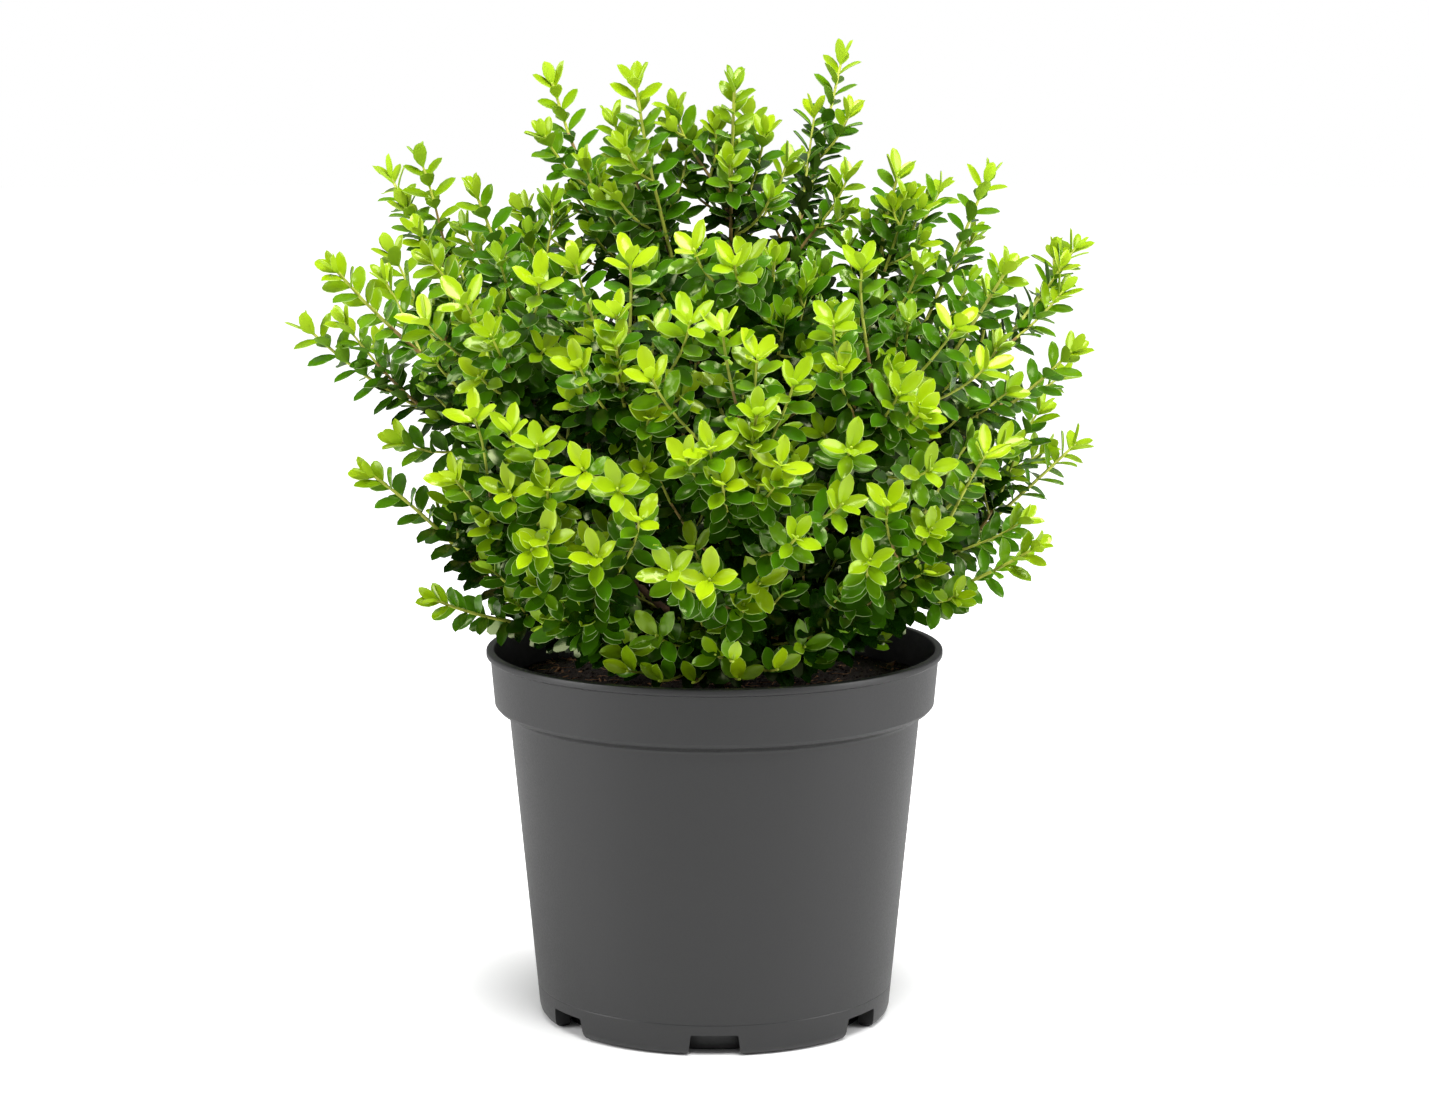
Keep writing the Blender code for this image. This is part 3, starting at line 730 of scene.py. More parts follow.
# Limbs: the solids' rule, written again
def frames_along(path):
    """A frame at each point of a path, turned as little as possible from one to the next."""
    tangents = [(b - a).normalized() for a, b in zip(path, path[1:])]
    tangents.append(tangents[-1])
    side = tangents[0].orthogonal().normalized()
    frames = []
    for tangent in tangents:
        side = (side - tangent * side.dot(tangent)).normalized()
        frames.append(frame_of((side, tangent.cross(side), tangent)))
    return frames


def bend(start, start_way, end, end_way, steps):
    """Points on a smooth curve that leaves start along one way and reaches end along another."""
    pull = (end - start).length * 0.38
    first, last = start + start_way * pull, end - end_way * pull
    points = []
    for step in range(steps + 1):
        t = step / steps
        s = 1 - t
        points.append(start * s**3 + first * (3 * s * s * t) + last * (3 * s * t * t) + end * t**3)
    return points


def taper(first, last, count):
    """Radii that shrink evenly along a limb."""
    return [first + (last - first) * step / (count - 1) for step in range(count)]


def way(turn, lift):
    """A direction from its turn about Z and its lift above the horizontal, in degrees."""
    turn, lift = math.radians(turn), math.radians(lift)
    return Vector((math.cos(lift) * math.cos(turn), math.cos(lift) * math.sin(turn), math.sin(lift)))


def lift_of(heading):
    """A direction's lift above the horizontal, in degrees."""
    return math.degrees(math.asin(max(min(heading.z, 1.0), -1.0)))


def reach_at(lift):
    """How far the crown reaches from its base at a lift."""
    return between(OUTLINE, lift)


def depth_of(point):
    """How far inside the crown's outline a point is."""
    offset = point - CROWN_BASE
    return reach_at(max(lift_of(offset.normalized()), 10)) - offset.length


def leaned(point):
    """A point of the upright stem, moved as far as the stem leans at that height."""
    rise = point.z - SOIL_TOP
    return point + Vector((STEM_LEAN * rise, 0.4 * STEM_LEAN * rise, 0.0))


def bough_path(ring, axis, turn, length):
    """A bough's course, from the stem's side, shoulder or top to the tip where its mass begins."""
    outward = way(turn, 0)
    if ring == "low":
        start = leaned(Vector((0, 0, STEM_FOOT + 0.0205)) + outward * (STEM_RADIUS + GAP))
        start_way = outward
    elif ring == "high":
        start_way = way(turn, 24)
        shoulder = outward * (STEM_RADIUS * 0.98 + STEM_HEAD) / 2
        start = leaned(Vector((0, 0, STEM_FOOT + 0.0310)) + shoulder) + way(turn, 22) * 0.0004
    else:
        start = leaned(Vector((0, 0, STEM_FOOT + STEM_HEIGHT + GAP)))
        start_way = UP
    return [start] + bend(start + start_way * BOUGH_SEAT, start_way, CROWN_BASE + axis * length, axis, 6)


def viewpoint():
    """Where the camera stands, and how far in front of the middle plane that is."""
    studio = bpy.context.scene.boxwood_studio
    return Vector((0.0, -studio.distance, studio.height)), studio.distance


def in_sight(across, up, depth):
    """The place at a depth that the camera sees where it sees a place of the middle plane, in millimetres."""
    eye, distance = viewpoint()
    place = Vector((across, 0.0, up)) / 1000
    return eye + (place - eye) * ((distance + depth / 1000) / distance)


def seen_offset(point):
    """Where in the middle plane the camera sees a point, from the crown's base."""
    eye, distance = viewpoint()
    return eye + (point - eye) * (distance / (distance + point.y)) - CROWN_BASE


def between(table, value):
    """A value read from a table of pairs, evenly between its entries."""
    for (low, near), (high, far) in zip(table, table[1:]):
        if value <= high:
            return near + (far - near) * (max(value, low) - low) / (high - low)
    return table[-1][1]


def outside_body(point):
    """How much farther out than the crown's dense body a point is seen, as a share of its reach."""
    offset = seen_offset(point)
    lift = math.degrees(math.atan2(offset.z, abs(offset.x)))
    return offset.length / (between(RIGHT_BODY if offset.x > 0 else LEFT_BODY, lift) - BODY_LEAVES)


def held(point):
    """A point drawn in towards the crown's base until it is seen inside the dense body."""
    for _ in range(3):
        point = CROWN_BASE + (point - CROWN_BASE) / max(outside_body(point), 1.0)
    return point


def spread_ways(count, taken, lift, draw):
    """Directions spread evenly above a lift, each the farthest of a few tries from those before."""
    lowest = math.sin(math.radians(lift))
    found = []
    while len(found) < count:
        tries = []
        for _ in range(WAY_TRIES):
            turn = draw.uniform(0, 360)
            tries.append(way(turn, math.degrees(math.asin(draw.uniform(lowest, 1)))))
        before = taken + found
        found.append(min(tries, key=lambda heading: max((heading.dot(other) for other in before), default=0)))
    return found


def shoot_ways():
    """Each main shoot's direction and its stem's end: the skyline's, others between, and short inner ones."""
    draw = random.Random(SEED)
    shoots = []
    for side, tips in ((1, RIGHT_SHOOTS), (-1, LEFT_SHOOTS)):
        for lift, reach, across, up, depth in tips:
            tip = way(0, lift) * reach
            heading = Vector((side * tip.x, depth / 1000, tip.z)).normalized()
            shoots.append((heading, in_sight(across, up, depth)))
    skyline = [heading for heading, _ in shoots]
    spread = (1 - 2 * REACH_SPREAD, 1 + REACH_SPREAD / 2)
    outer = (OUTER_SHOOTS - len(shoots), skyline, LOWEST_LIFT, 1.0)
    inner = (INNER_SHOOTS, [], LOWEST_INNER_LIFT, INNER_REACH)
    for count, taken, lift, share in (outer, inner):
        for heading in spread_ways(count, taken, lift, draw):
            reach = reach_at(lift_of(heading)) * share * draw.uniform(*spread)
            shoots.append((heading, held(CROWN_BASE + lifted(heading) * (reach - TIP_LEAVES))))
    return shoots


def lifted(heading):
    """A low direction, lifted clear of the open space under the crown."""
    lift = lift_of(heading)
    if lift > CLEAR_LIFT:
        return heading
    flat = Vector((heading.x, heading.y, 0.0)).normalized()
    lift = math.radians(CLEAR_LIFT - (CLEAR_LIFT - lift) / 4)
    return flat * math.cos(lift) + UP * math.sin(lift)


def nearest(axes, heading):
    """Which axis a direction is closest to."""
    return max(range(len(axes)), key=lambda number: heading.dot(axes[number]))


def settled(axes, headings):
    """Each mass's axis moved to the middle of the shoots that are nearest to it."""
    for _ in range(SETTLING_ROUNDS):
        sums = [axis.copy() for axis in axes]
        for heading in headings:
            sums[nearest(axes, heading)] += heading
        axes = [total.normalized() for total in sums]
    return axes


def twig_path(stem, heading, end, axis, draw):
    """The course of a twig that branches from a mass's stem and runs to its end."""
    spread = math.acos(min(heading.dot(axis), 1.0))
    branch = draw.uniform(0.12, 0.34) * (len(stem) - 1) / (1 + spread)
    return branch_path(stem, branch, end, heading, TWIG_STEPS)


def branch_path(host, branch, end, heading, steps):
    """A course that leaves a host's path at a place between its points and sweeps up to an end."""
    low = min(int(branch), len(host) - 2)
    root = host[low].lerp(host[low + 1], branch - low)
    outwards = (end - root).normalized()
    host_way = (host[low + 1] - host[low]).normalized()
    end_way = (outwards + heading + UP * SWEEP).normalized()
    return bend(root, (host_way + outwards).normalized(), end, end_way, steps)


def over_ground(point):
    """Whether a point is clear above the soil, or above the rim where it is outside the pot's mouth."""
    floor = POT_HEIGHT if point.xy.length > MOUTH_RADIUS else SOIL_TOP
    return point.z > floor + LOWEST_LEAF


def clear(path):
    """Whether a twig is over the ground all along, apart from its root."""
    return all(over_ground(point) for point in path[1:])


def over_skirt(point):
    """Whether a point is above the open space that widens outwards under the crown."""
    return point.z > SOIL_TOP + SKIRT_SLOPE * (point.xy.length - SKIRT_RADIUS)


@functools.cache
def crown():
    """The crown's limbs: boughs, and twigs of three orders, each with its path, radii and vigour."""
    plan = []
    for ring, lift, number, length in BOUGH_RINGS:
        for index in range(number):
            plan.append((ring, lift, 360 * index / number, length))
    shoots = shoot_ways()
    axes = settled([way(turn, lift) for _, lift, turn, _ in plan], [heading for heading, _ in shoots])
    boughs, twigs = [], []
    for number, (ring, _, turn, length) in enumerate(plan):
        bough = bough_path(ring, axes[number], turn, length)
        boughs.append(bough)
        share = [shoot for shoot in shoots if nearest(axes, shoot[0]) == number]
        twigs += mass_twigs(bough, axes[number], share, random.Random(number))
    draw = random.Random(SEED)
    finer = finer_twigs(twigs, [heading for heading, _ in shoots], draw)
    skirt = skirt_twigs(boughs, draw)
    filling = filling_twigs(twigs, draw)
    sides = [side for twig in twigs + finer + skirt for side in side_twigs(twig, draw)]
    return boughs, twigs + finer + skirt + filling + sides


def mass_twigs(bough, axis, shoots, draw):
    """One mass's stem, which grows on from the bough, and the twigs that branch from it."""
    twigs = []
    for heading, end in sorted(shoots, key=lambda shoot: -shoot[0].dot(axis)):
        if twigs:
            path = twig_path(twigs[0].path, heading, end, axis, draw)
            radii = taper(*MAIN_RADII, len(path))
        else:
            bough_way = (bough[-1] - bough[-2]).normalized()
            end_way = (heading + UP * SWEEP / 2).normalized()
            path = bend(bough[-1] - bough_way * GAP, bough_way, end, end_way, STEM_STEPS)
            radii = taper(BOUGH_TIP, MAIN_RADII[1], len(path))
        if clear(path):
            twigs.append(Twig(path, radii, 0, draw.uniform(*MAIN_VIGOURS), draw.uniform(*MAIN_SIZES)))
    return twigs


def finer_twigs(hosts, taken, draw):
    """Finer shoots between the main ones: those that are seen, and others spread evenly between them."""
    shoots = []
    for places, sizes, vigours in SEEN_SHOOTS:
        for place in places:
            shoots.append((in_sight(*place), draw.uniform(*sizes), draw.uniform(*vigours)))
    known = taken + [(end - CROWN_BASE).normalized() for end, _, _ in shoots]
    for heading in spread_ways(SPREAD_SHOOTS, known, CLEAR_LIFT, draw):
        reach = reach_at(lift_of(heading)) * draw.uniform(*SPREAD_REACH)
        end = held(CROWN_BASE + heading * (reach - TIP_LEAVES))
        shoots.append((end, draw.uniform(*SPREAD_SIZES), draw.uniform(*SPREAD_VIGOURS)))
    twigs = []
    for end, tip_size, vigour in shoots:
        host, branch = best_branch(hosts, end)
        path = branch_path(host, branch, end, (end - CROWN_BASE).normalized(), TWIG_STEPS)
        if clear(path):
            twigs.append(Twig(path, taper(*FINER_RADII, len(path)), 1, vigour, tip_size))
    return twigs


def best_branch(hosts, end):
    """The host's path, and the place on it, from which a shoot leaves for its end at a natural angle."""
    best = None
    for host in hosts:
        for index in range(1, len(host.path) - 1):
            out = end - host.path[index]
            angle = out.angle(host.path[index + 1] - host.path[index])
            cost = abs(angle - BRANCH_ANGLE) + abs(out.length - BRANCH_LENGTH) * 12
            if best is None or cost < best[0]:
                best = (cost, host.path, index)
    return best[1:]


def filling_twigs(hosts, draw):
    """Short shoots that fill the inside of the crown, with old leaves darkened further as painted shade."""
    twigs = []
    for heading in spread_ways(FILLING_SHOOTS, [], LOWEST_INNER_LIFT, draw):
        end = held(CROWN_BASE + heading * reach_at(lift_of(heading)) * draw.uniform(*FILLING_REACH))
        host = max(hosts, key=lambda twig: (twig.path[-1] - CROWN_BASE).normalized().dot(heading))
        path = branch_path(host.path, draw.uniform(0.05, 0.25) * (len(host.path) - 1), end, heading, 6)
        if clear(path):
            twigs.append(Twig(path, taper(*FILLING_RADII, len(path)), 1, FILLING_SHADE_VIGOUR, FILLING_SIZE))
    return twigs


def skirt_twigs(boughs, draw):
    """Short low shoots round the foot, which hide the stem."""
    twigs = []
    for number in range(SKIRT_SHOOTS):
        turn = 360 * (number + draw.uniform(-0.35, 0.35)) / SKIRT_SHOOTS
        heading = way(turn, draw.uniform(*SKIRT_LIFTS))
        end = CROWN_BASE + UP * 0.012 + heading * draw.uniform(*SKIRT_REACH)
        host = max(boughs, key=lambda bough: (bough[-1] - CROWN_BASE).normalized().dot(heading))
        path = branch_path(host, draw.uniform(1.2, 2.6), end, heading, TWIG_STEPS)
        if clear(path):
            tip_size, vigour = draw.uniform(*SKIRT_SIZES), draw.uniform(*SKIRT_VIGOURS)
            twigs.append(Twig(path, taper(*FINER_RADII, len(path)), 1, vigour, tip_size))
    return twigs


def side_twigs(twig, draw):
    """Short side twigs in the outer part of a shoot, longer towards its foot, that bend its way."""
    frames = frames_along(twig.path)
    outer = outside_body(twig.path[-1]) * 0.98
    found = []
    back = 0.0
    turn = draw.uniform(0, math.tau)
    for number, spacing in enumerate(SIDE_TWIG_SPACING):
        back += spacing * draw.uniform(0.8, 1.25)
        if twig.tip_size > LARGE_TIP and number < 2:
            continue
        place, tangent, index = point_back(twig.path, back)
        if place is None or (place - CROWN_BASE).length < BARE_CORE + 0.03:
            break
        turn += math.radians(draw.uniform(*SIDE_TWIG_TURNS))
        side = frames[index] @ Vector((math.cos(turn), math.sin(turn), 0.0))
        if side.dot(UP) < -0.6 and draw.random() < 0.6:
            side = -side
        length = draw.uniform(*SIDE_TWIG_LENGTHS) * back
        start_way = (tangent * 0.75 + side).normalized()
        end_way = (tangent + side * 0.45 + UP * SWEEP).normalized()
        end = place + (start_way + end_way).normalized() * length
        path = bend(place, start_way, end, end_way, 5)
        if all(over_ground(point) for point in path) and outside_body(end) < max(outer, 1.0):
            vigour = twig.vigour + draw.uniform(-0.5, 0.3)
            found.append(Twig(path, taper(*SIDE_RADII, len(path)), 2, vigour, twig.tip_size))
    return found


def point_back(path, back):
    """The point of a path a distance back from its tip, the way there and the segment's number."""
    index, left = len(path) - 1, back
    while index > 0 and left > (path[index] - path[index - 1]).length:
        left -= (path[index] - path[index - 1]).length
        index -= 1
    if index == 0:
        return None, None, 0
    tangent = (path[index] - path[index - 1]).normalized()
    return path[index] - tangent * left, tangent, index


def by_age(twigs):
    """The twigs' stretches sorted into old, middle and young ones, by how far back from the tip they lie."""
    draw = random.Random(SEED)
    stretches = ([], [], [])
    for twig in twigs:
        pace = draw.uniform(*AGE_SPREAD) * AGE_PACES[twig.order]
        backs = [0.0]
        for a, b in zip(twig.path[::-1], twig.path[-2::-1]):
            backs.insert(0, backs[0] + (b - a).length)
        ages = [(back < YOUNG_LENGTH * pace) + (back < MIDDLE_LENGTH * pace) for back in backs]
        for age in range(3):
            members = [index for index, value in enumerate(ages) if value == age]
            if members:
                last = min(members[-1] + 1, len(ages) - 1)
                if last > members[0]:
                    stretches[age].append((twig.path[members[0]:last + 1], twig.radii[members[0]:last + 1]))
    return stretches


def stem_mesh(relief):
    """The short stem, with its flared and lobed foot and ridged bark."""
    profile = [(0.0, STEM_FOOT - 0.004)]
    for step in range(STEM_RINGS + 1):
        height = STEM_HEIGHT * step / STEM_RINGS
        profile.append((between(STEM_WIDTHS, height), STEM_FOOT + height))
    bm = turned(profile + [(0.0, STEM_FOOT + STEM_HEIGHT + 0.0015)], 64)
    for vert in bm.verts:
        turn, away = math.atan2(vert.co.y, vert.co.x), vert.co.xy.length
        swell = 1 + 0.16 * between(STEM_LOBES, vert.co.z - STEM_FOOT) * math.cos(FLARE_LOBES * turn)
        ridges = noise.fractal(Vector((math.cos(turn) * 4, math.sin(turn) * 4, vert.co.z * 90)), 0.9, 2.2, 4)
        if away > 0.001:
            swell += relief * ridges / away
        vert.co.x, vert.co.y = vert.co.x * swell, vert.co.y * swell
        vert.co = leaned(vert.co)
    return mesh_of("stem", bm)


def bark_mesh(boughs, relief):
    """The stem and the boughs in one mesh, with the bark's ridges."""
    limbs = []
    for bough in boughs:
        start_way = (bough[1] - bough[0]).normalized()
        path = [bough[0] - start_way * 0.003] + bend(
            bough[0], start_way, bough[-1], (bough[-1] - bough[-2]).normalized(), 24
        )
        limbs.append((path, taper(BOUGH_RADIUS, BOUGH_TIP, len(path))))
    boughs_mesh = tube_mesh("boughs", limbs, 4)
    bm = bmesh.new()
    bm.from_mesh(boughs_mesh)
    bm.normal_update()
    for vert in bm.verts:
        ridges = noise.fractal(Vector((vert.co.x * 500, vert.co.y * 500, vert.co.z * 220)), 0.9, 2.0, 3)
        vert.co += vert.normal * (relief * 0.45 * ridges)
    bpy.data.meshes.remove(boughs_mesh)
    stem = stem_mesh(relief)
    bm.from_mesh(stem)
    bpy.data.meshes.remove(stem)
    mesh = mesh_of("bark", bm)
    smooth(mesh, 70)
    return mesh


# Leaves
def leaf_template(rows, columns):
    """A thin closed leaf in unit sizes: x along it, y across it and z in thicknesses, top side up."""
    bm = bmesh.new()
    for side, layout in (("top", columns), ("under", UNDER_COLUMNS)):
        wide, long = len(layout) - 1, len(rows) - 1
        known = set(bm.verts)
        bmesh.ops.create_grid(bm, x_segments=wide, y_segments=long, size=0.5)
        fresh = [vert for vert in bm.verts if vert not in known]
        places = {}
        for vert in fresh:
            column, row = round((vert.co.x + 0.5) * wide), round((vert.co.y + 0.5) * long)
            along, width = rows[row]
            across, height = layout[column]
            places[vert] = (column, row)
            vert.co = Vector((along, across * width / 2, height if width else 0.0))
        for face in {face for vert in fresh for face in vert.link_faces}:
            first = min(places[vert][0] for vert in face.verts)
            # The outer strips take the margin finish, which is partly a painted highlight of the glossy edge.
            edge = len(columns) > 3 and first in (0, wide - 1)
            face.material_index = 2 if side == "under" else int(edge)
    bmesh.ops.remove_doubles(bm, verts=bm.verts, dist=1e-5)
    bmesh.ops.dissolve_degenerate(bm, edges=bm.edges, dist=1e-6)
    bmesh.ops.recalc_face_normals(bm, faces=bm.faces)
    return template_of(bm)


def leaf_points(template, leaves):
    """The template's points on every leaf, each folded along its middle and drooping by its own amount."""
    x, y, z = (template.points[None, :, axis] for axis in range(3))
    sizes = np.array([(leaf.length, leaf.width, leaf.fold, leaf.droop) for leaf in leaves])
    length, width, fold, droop = sizes.T[:, :, None]
    root, along, face = (np.array([getattr(leaf, name) for leaf in leaves]) for name in Leaf._fields[:3])
    run = length * (x - 0.35 * droop * x**2)
    side = width * y * (1 - 0.12 * fold)
    rise = LEAF_THICK * z + fold * width * (np.abs(y) - 1.1 * y**2) - droop * length * x**2
    parts = zip((run, side, rise), (along, np.cross(face, along), face))
    return root[:, None] + sum(part[..., None] * axis[:, None] for part, axis in parts)


def by_rank(table, rank):
    """A table's value for a pair's rank from the tip; the last one holds for all further ranks."""
    return table[min(rank, len(table) - 1)]


def nodes_along(twig, settings, draw):
    """The nodes of a shoot, where it bears its crosswise pairs of leaves, from the tip inwards."""
    frames = frames_along(twig.path)
    turn = draw.uniform(0, math.pi)
    nodes = []
    back, rank = 0.0006, 0
    while True:
        place, tangent, index = point_back(twig.path, back)
        if place is None or (place - CROWN_BASE).length < BARE_CORE:
            return nodes
        nodes.append(Node(place, tangent, frames[index], turn + rank * math.pi / 2, rank, back))
        back += settings.spacing * by_rank(PAIR_GAPS, rank) * draw.uniform(0.85, 1.15)
        rank += 1


def grown_leaf(twig, node, half, settings, draw):
    """One leaf of a pair: it leans out more the further it is from the tip, and turns to the light."""
    rank = node.rank
    opening = OPENING * max(twig.tip_size - CLOSED_SIZE, 0)
    lean = math.radians(by_rank(LEAF_LEANS, rank) + opening + draw.uniform(-8, 8))
    angle = node.turn + half * math.pi + draw.uniform(-0.25, 0.25)
    side = node.frame @ Vector((math.cos(angle), math.sin(angle), 0.0))
    side = (side - node.tangent * side.dot(node.tangent)).normalized()
    along = node.tangent * math.cos(lean) + side * math.sin(lean)
    face = node.tangent * math.sin(lean) - side * math.cos(lean)
    face = face.lerp(light_way(node.place), settings.light_turn * by_rank(LIGHT_TURNS, rank))
    face = (face - along * face.dot(along)).normalized()
    size = (twig.tip_size + (1 - twig.tip_size) * by_rank(LEAF_SIZES, rank)) * draw.uniform(0.88, 1.08)
    length = settings.leaf_length * size * (0.94 if twig.order == 2 else 1.0)
    width = length * settings.leaf_width / settings.leaf_length * draw.uniform(0.9, 1.08)
    fold = draw.uniform(*by_rank(LEAF_FOLDS, rank))
    droop = draw.uniform(*by_rank(LEAF_DROOPS, rank))
    return Leaf(node.place, along, face, length, width, fold, droop, leaf_tone(twig, node, draw))


def light_way(place):
    """Where the light comes from at a place: above, outside the crown, and at the front also ahead."""
    outward = (place - CROWN_BASE).normalized()
    ahead = min(max(0.75 - 1.3 * outward.y, -0.7), 1.0)
    return (UP * 0.55 + outward * 0.3 - Vector((0.0, 1.1 * ahead, 0.0))).normalized()


def leaf_tone(twig, node, draw):
    """A leaf's tone, from 0 at fresh lit tips to the darkest, with depth in the crown darkening it as painted
    shade.
    """
    age = by_rank(RANK_TONES, node.rank) + AGE_SHARE * max(node.rank + 1 - len(RANK_TONES), 0)
    # Painted shade: the further inside the crown's outline, the darker the tone.
    deep_shade = max(depth_of(node.place) - DEPTH_SHADE_START, 0.0) / DEPTH_SHADE_STEP
    tone = age * (1 - VIGOUR_SHARE * max(twig.vigour, 0)) + deep_shade - WEAK_SHARE * min(twig.vigour, 0)
    tone += draw.uniform(-TONE_SPREAD, TONE_SPREAD)
    return int(min(max(tone, twig.vigour + VIGOUR_LEAD, 0), TONES - 1))


@functools.cache
def foliage():
    """Every leaf of the crown, and the place and way of each shoot's bud."""
    settings = bpy.context.scene.boxwood_foliage
    draw = random.Random(SEED + 1)
    leaves, buds = [], []
    for twig in crown()[1]:
        for node in nodes_along(twig, settings, draw):
            for half in (0, 1):
                leaf = grown_leaf(twig, node, half, settings, draw)
                tip = leaf.root + leaf.along * leaf.length - leaf.face * (leaf.droop * leaf.length)
                if over_ground(tip) and over_ground(leaf.root) and (twig.order == 0 or over_skirt(tip)):
                    leaves.append(leaf)
        buds.append((twig.path[-1], (twig.path[-1] - twig.path[-2]).normalized()))
    return leaves, buds


def tone_colours(settings):
    """The leaves' tones, evenly from the young colour through the grown one to the darkest, which is old
    leaves' colour darkened further as painted shade.
    """
    colours = []
    for tone in range(TONES):
        share = tone / (TONES - 1) * 2
        if share < 1:
            colours.append(mixed(settings.young, settings.grown, share))
        else:
            colours.append(mixed(settings.grown, settings.deep_shade, share - 1))
    return colours


def blade_finish(name, colour, roughness):
    """Glossy leaf surface in one tone."""
    gloss = {"Roughness": roughness, "Specular IOR Level": 0.48, "Specular Tint": (0.9, 1.0, 0.5, 1.0)}
    return patchy_finish(name, colour, 0.10, 35.0, gloss)


def margin_and_sheen_finish(name, colour):
    """A leaf's pale margin: its own paler rim, lightened further as a painted highlight."""
    # Paler than the blade: the rim's own colour and a painted highlight of a glossy edge.
    pale = mixed(colour, (0.62, 0.74, 0.22), 0.17)
    return patchy_finish(name, pale, 0.08, 35.0, {"Roughness": 0.42})


def underside_and_glow_finish(name, colour):
    """A leaf's paler and duller underside, lightened further as painted light shining through the leaf."""
    # Paler than the top: the underside's own colour, lifted further as painted light through the leaf and
    # against the crown's shade.
    pale = mixed(shifted(colour, 0.5)[:3], (0.30, 0.40, 0.06), 0.14)
    return patchy_finish(name, pale, 0.10, 35.0, {"Roughness": 0.6, "Specular IOR Level": 0.2})


# Settings
def tint_setting(name, text, default):
    """A colour that the sidebar shows."""
    return FloatVectorProperty(
        name=name, description=text, subtype="COLOR", size=3, default=default, min=0, max=1,
    )


def length_setting(name, text, default, least=0.0):
    """A length that the sidebar shows."""
    return FloatProperty(name=name, description=text, unit="LENGTH", default=default, min=least)


def share_setting(name, text, default, least=0.0, most=1.0):
    """A share that the sidebar shows."""
    return FloatProperty(
        name=name, description=text, subtype="FACTOR", default=default, min=least, max=most,
    )


def amount_setting(name, text, default, least=0.0):
    """A strength or power that the sidebar shows."""
    return FloatProperty(name=name, description=text, default=default, min=least)


def number_setting(name, text, default, least=1):
    """A whole number that the sidebar shows."""
    return IntProperty(name=name, description=text, default=default, min=least)


class BoxwoodPotSettings(bpy.types.PropertyGroup):
    """Sizes and looks of the pot."""

    steps: number_setting("Round steps", "Flat steps round the pot", 192, 24)
    colour: tint_setting("Plastic", "Colour of the moulded plastic", (0.0105, 0.0105, 0.0109))
    roughness: share_setting("Roughness", "How dull the plastic is", 0.44, 0.1, 0.9)
    grain: length_setting("Grain", "Height of the plastic's fine grain", 0.00008)


class BoxwoodSoilSettings(bpy.types.PropertyGroup):
    """Colours and litter of the soil."""

    colour: tint_setting("Peat", "Colour of the potting soil", (0.030, 0.019, 0.012))
    fibre: tint_setting("Fibre", "Colour of the fibres and bark chips", (0.34, 0.18, 0.085))
    crumbs: number_setting("Crumbs", "Number of soil crumbs", 2600)
    chips: number_setting("Chips", "Number of bark chips", 210)
    fibres: number_setting("Fibres", "Number of loose fibres", 300)


class BoxwoodBarkSettings(bpy.types.PropertyGroup):
    """Colours and relief of stem, boughs and twigs."""

    colour: tint_setting("Bark", "Colour of the old bark", (0.115, 0.062, 0.030))
    middle: tint_setting("Middle twigs", "Colour of last year's twigs", (0.27, 0.18, 0.045))
    young: tint_setting("Young twigs", "Colour of this year's shoots", (0.38, 0.42, 0.045))
    relief: length_setting("Relief", "Height of the bark's ridges", 0.0009)


class BoxwoodFoliageSettings(bpy.types.PropertyGroup):
    """Sizes and colours of the leaves."""

    leaf_length: length_setting("Leaf length", "Length of a grown leaf", 0.0195, 0.005)
    leaf_width: length_setting("Leaf width", "Width of a grown leaf", 0.0098, 0.002)
    spacing: length_setting("Pair spacing", "Distance between two pairs of leaves", 0.0073, 0.003)
    light_turn: share_setting("Light turn", "How far leaves turn their faces to the light", 0.75)
    young: tint_setting("Young leaf", "Colour of fresh leaves", (0.325, 0.470, 0.004))
    grown: tint_setting("Grown leaf", "Colour of grown leaves", (0.054, 0.175, 0.0015))
    # Darkest leaf colour: old leaves' own colour, darkened further as painted shade for leaves far inside the
    # crown.
    deep_shade: tint_setting("Deep leaf", "Colour of old leaves inside the crown", (0.005, 0.026, 0.0006))


class BoxwoodStudioSettings(bpy.types.PropertyGroup):
    """Camera, floor and lights."""

    distance: length_setting("Distance", "How far in front of the pot the camera stands", 2.207)
    height: length_setting("Height", "How high the camera is above the floor", 0.637)
    pitch: FloatProperty(
        name="Pitch", description="How far down the camera looks", unit="ROTATION",
        default=math.radians(8.98),
    )
    lens: amount_setting("Lens", "Focal length in millimetres", 92.0, 20)
    sky: amount_setting("Surround", "Strength of the surround's light", 0.33)
    backdrop: amount_setting("Backdrop", "How white the surround looks", 1.0)
    glow: amount_setting("Floor glow", "How much the floor is lifted to white", 0.85)
    key: amount_setting("Top light", "Power of the large light overhead", 58.0)
    side: amount_setting("Side lights", "Power of each light at the sides", 29.0)


def settings_rows(layout, settings):
    """Lists a group's settings in the panel."""
    for name in settings.__annotations__:
        layout.prop(settings, name)


# Operators
class BOXWOOD_OT_pot(bpy.types.Operator):
    """Build the nursery pot with its rim band, lip, foot notches and drain slots"""

    bl_idname = "boxwood.pot"
    bl_label = "Pot"

    def execute(self, context):
        settings = context.scene.boxwood_pot
        cutters = []
        for number, degrees in enumerate(NOTCH_TURNS):
            turn = math.radians(degrees)
            cutters += [notch_cutter(f"notch_{number}", turn), drain_cutter(f"drain_{number}", turn)]
        blank = mesh_of("pot_blank", turned(rounded(pot_corners()), settings.steps))
        mesh = cut_mesh("pot_shell", blank, cutters)
        smooth(mesh, 32)
        pot = link("pot_shell", mesh, [plastic_finish(settings)])
        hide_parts("pot")
        return {"FINISHED"}


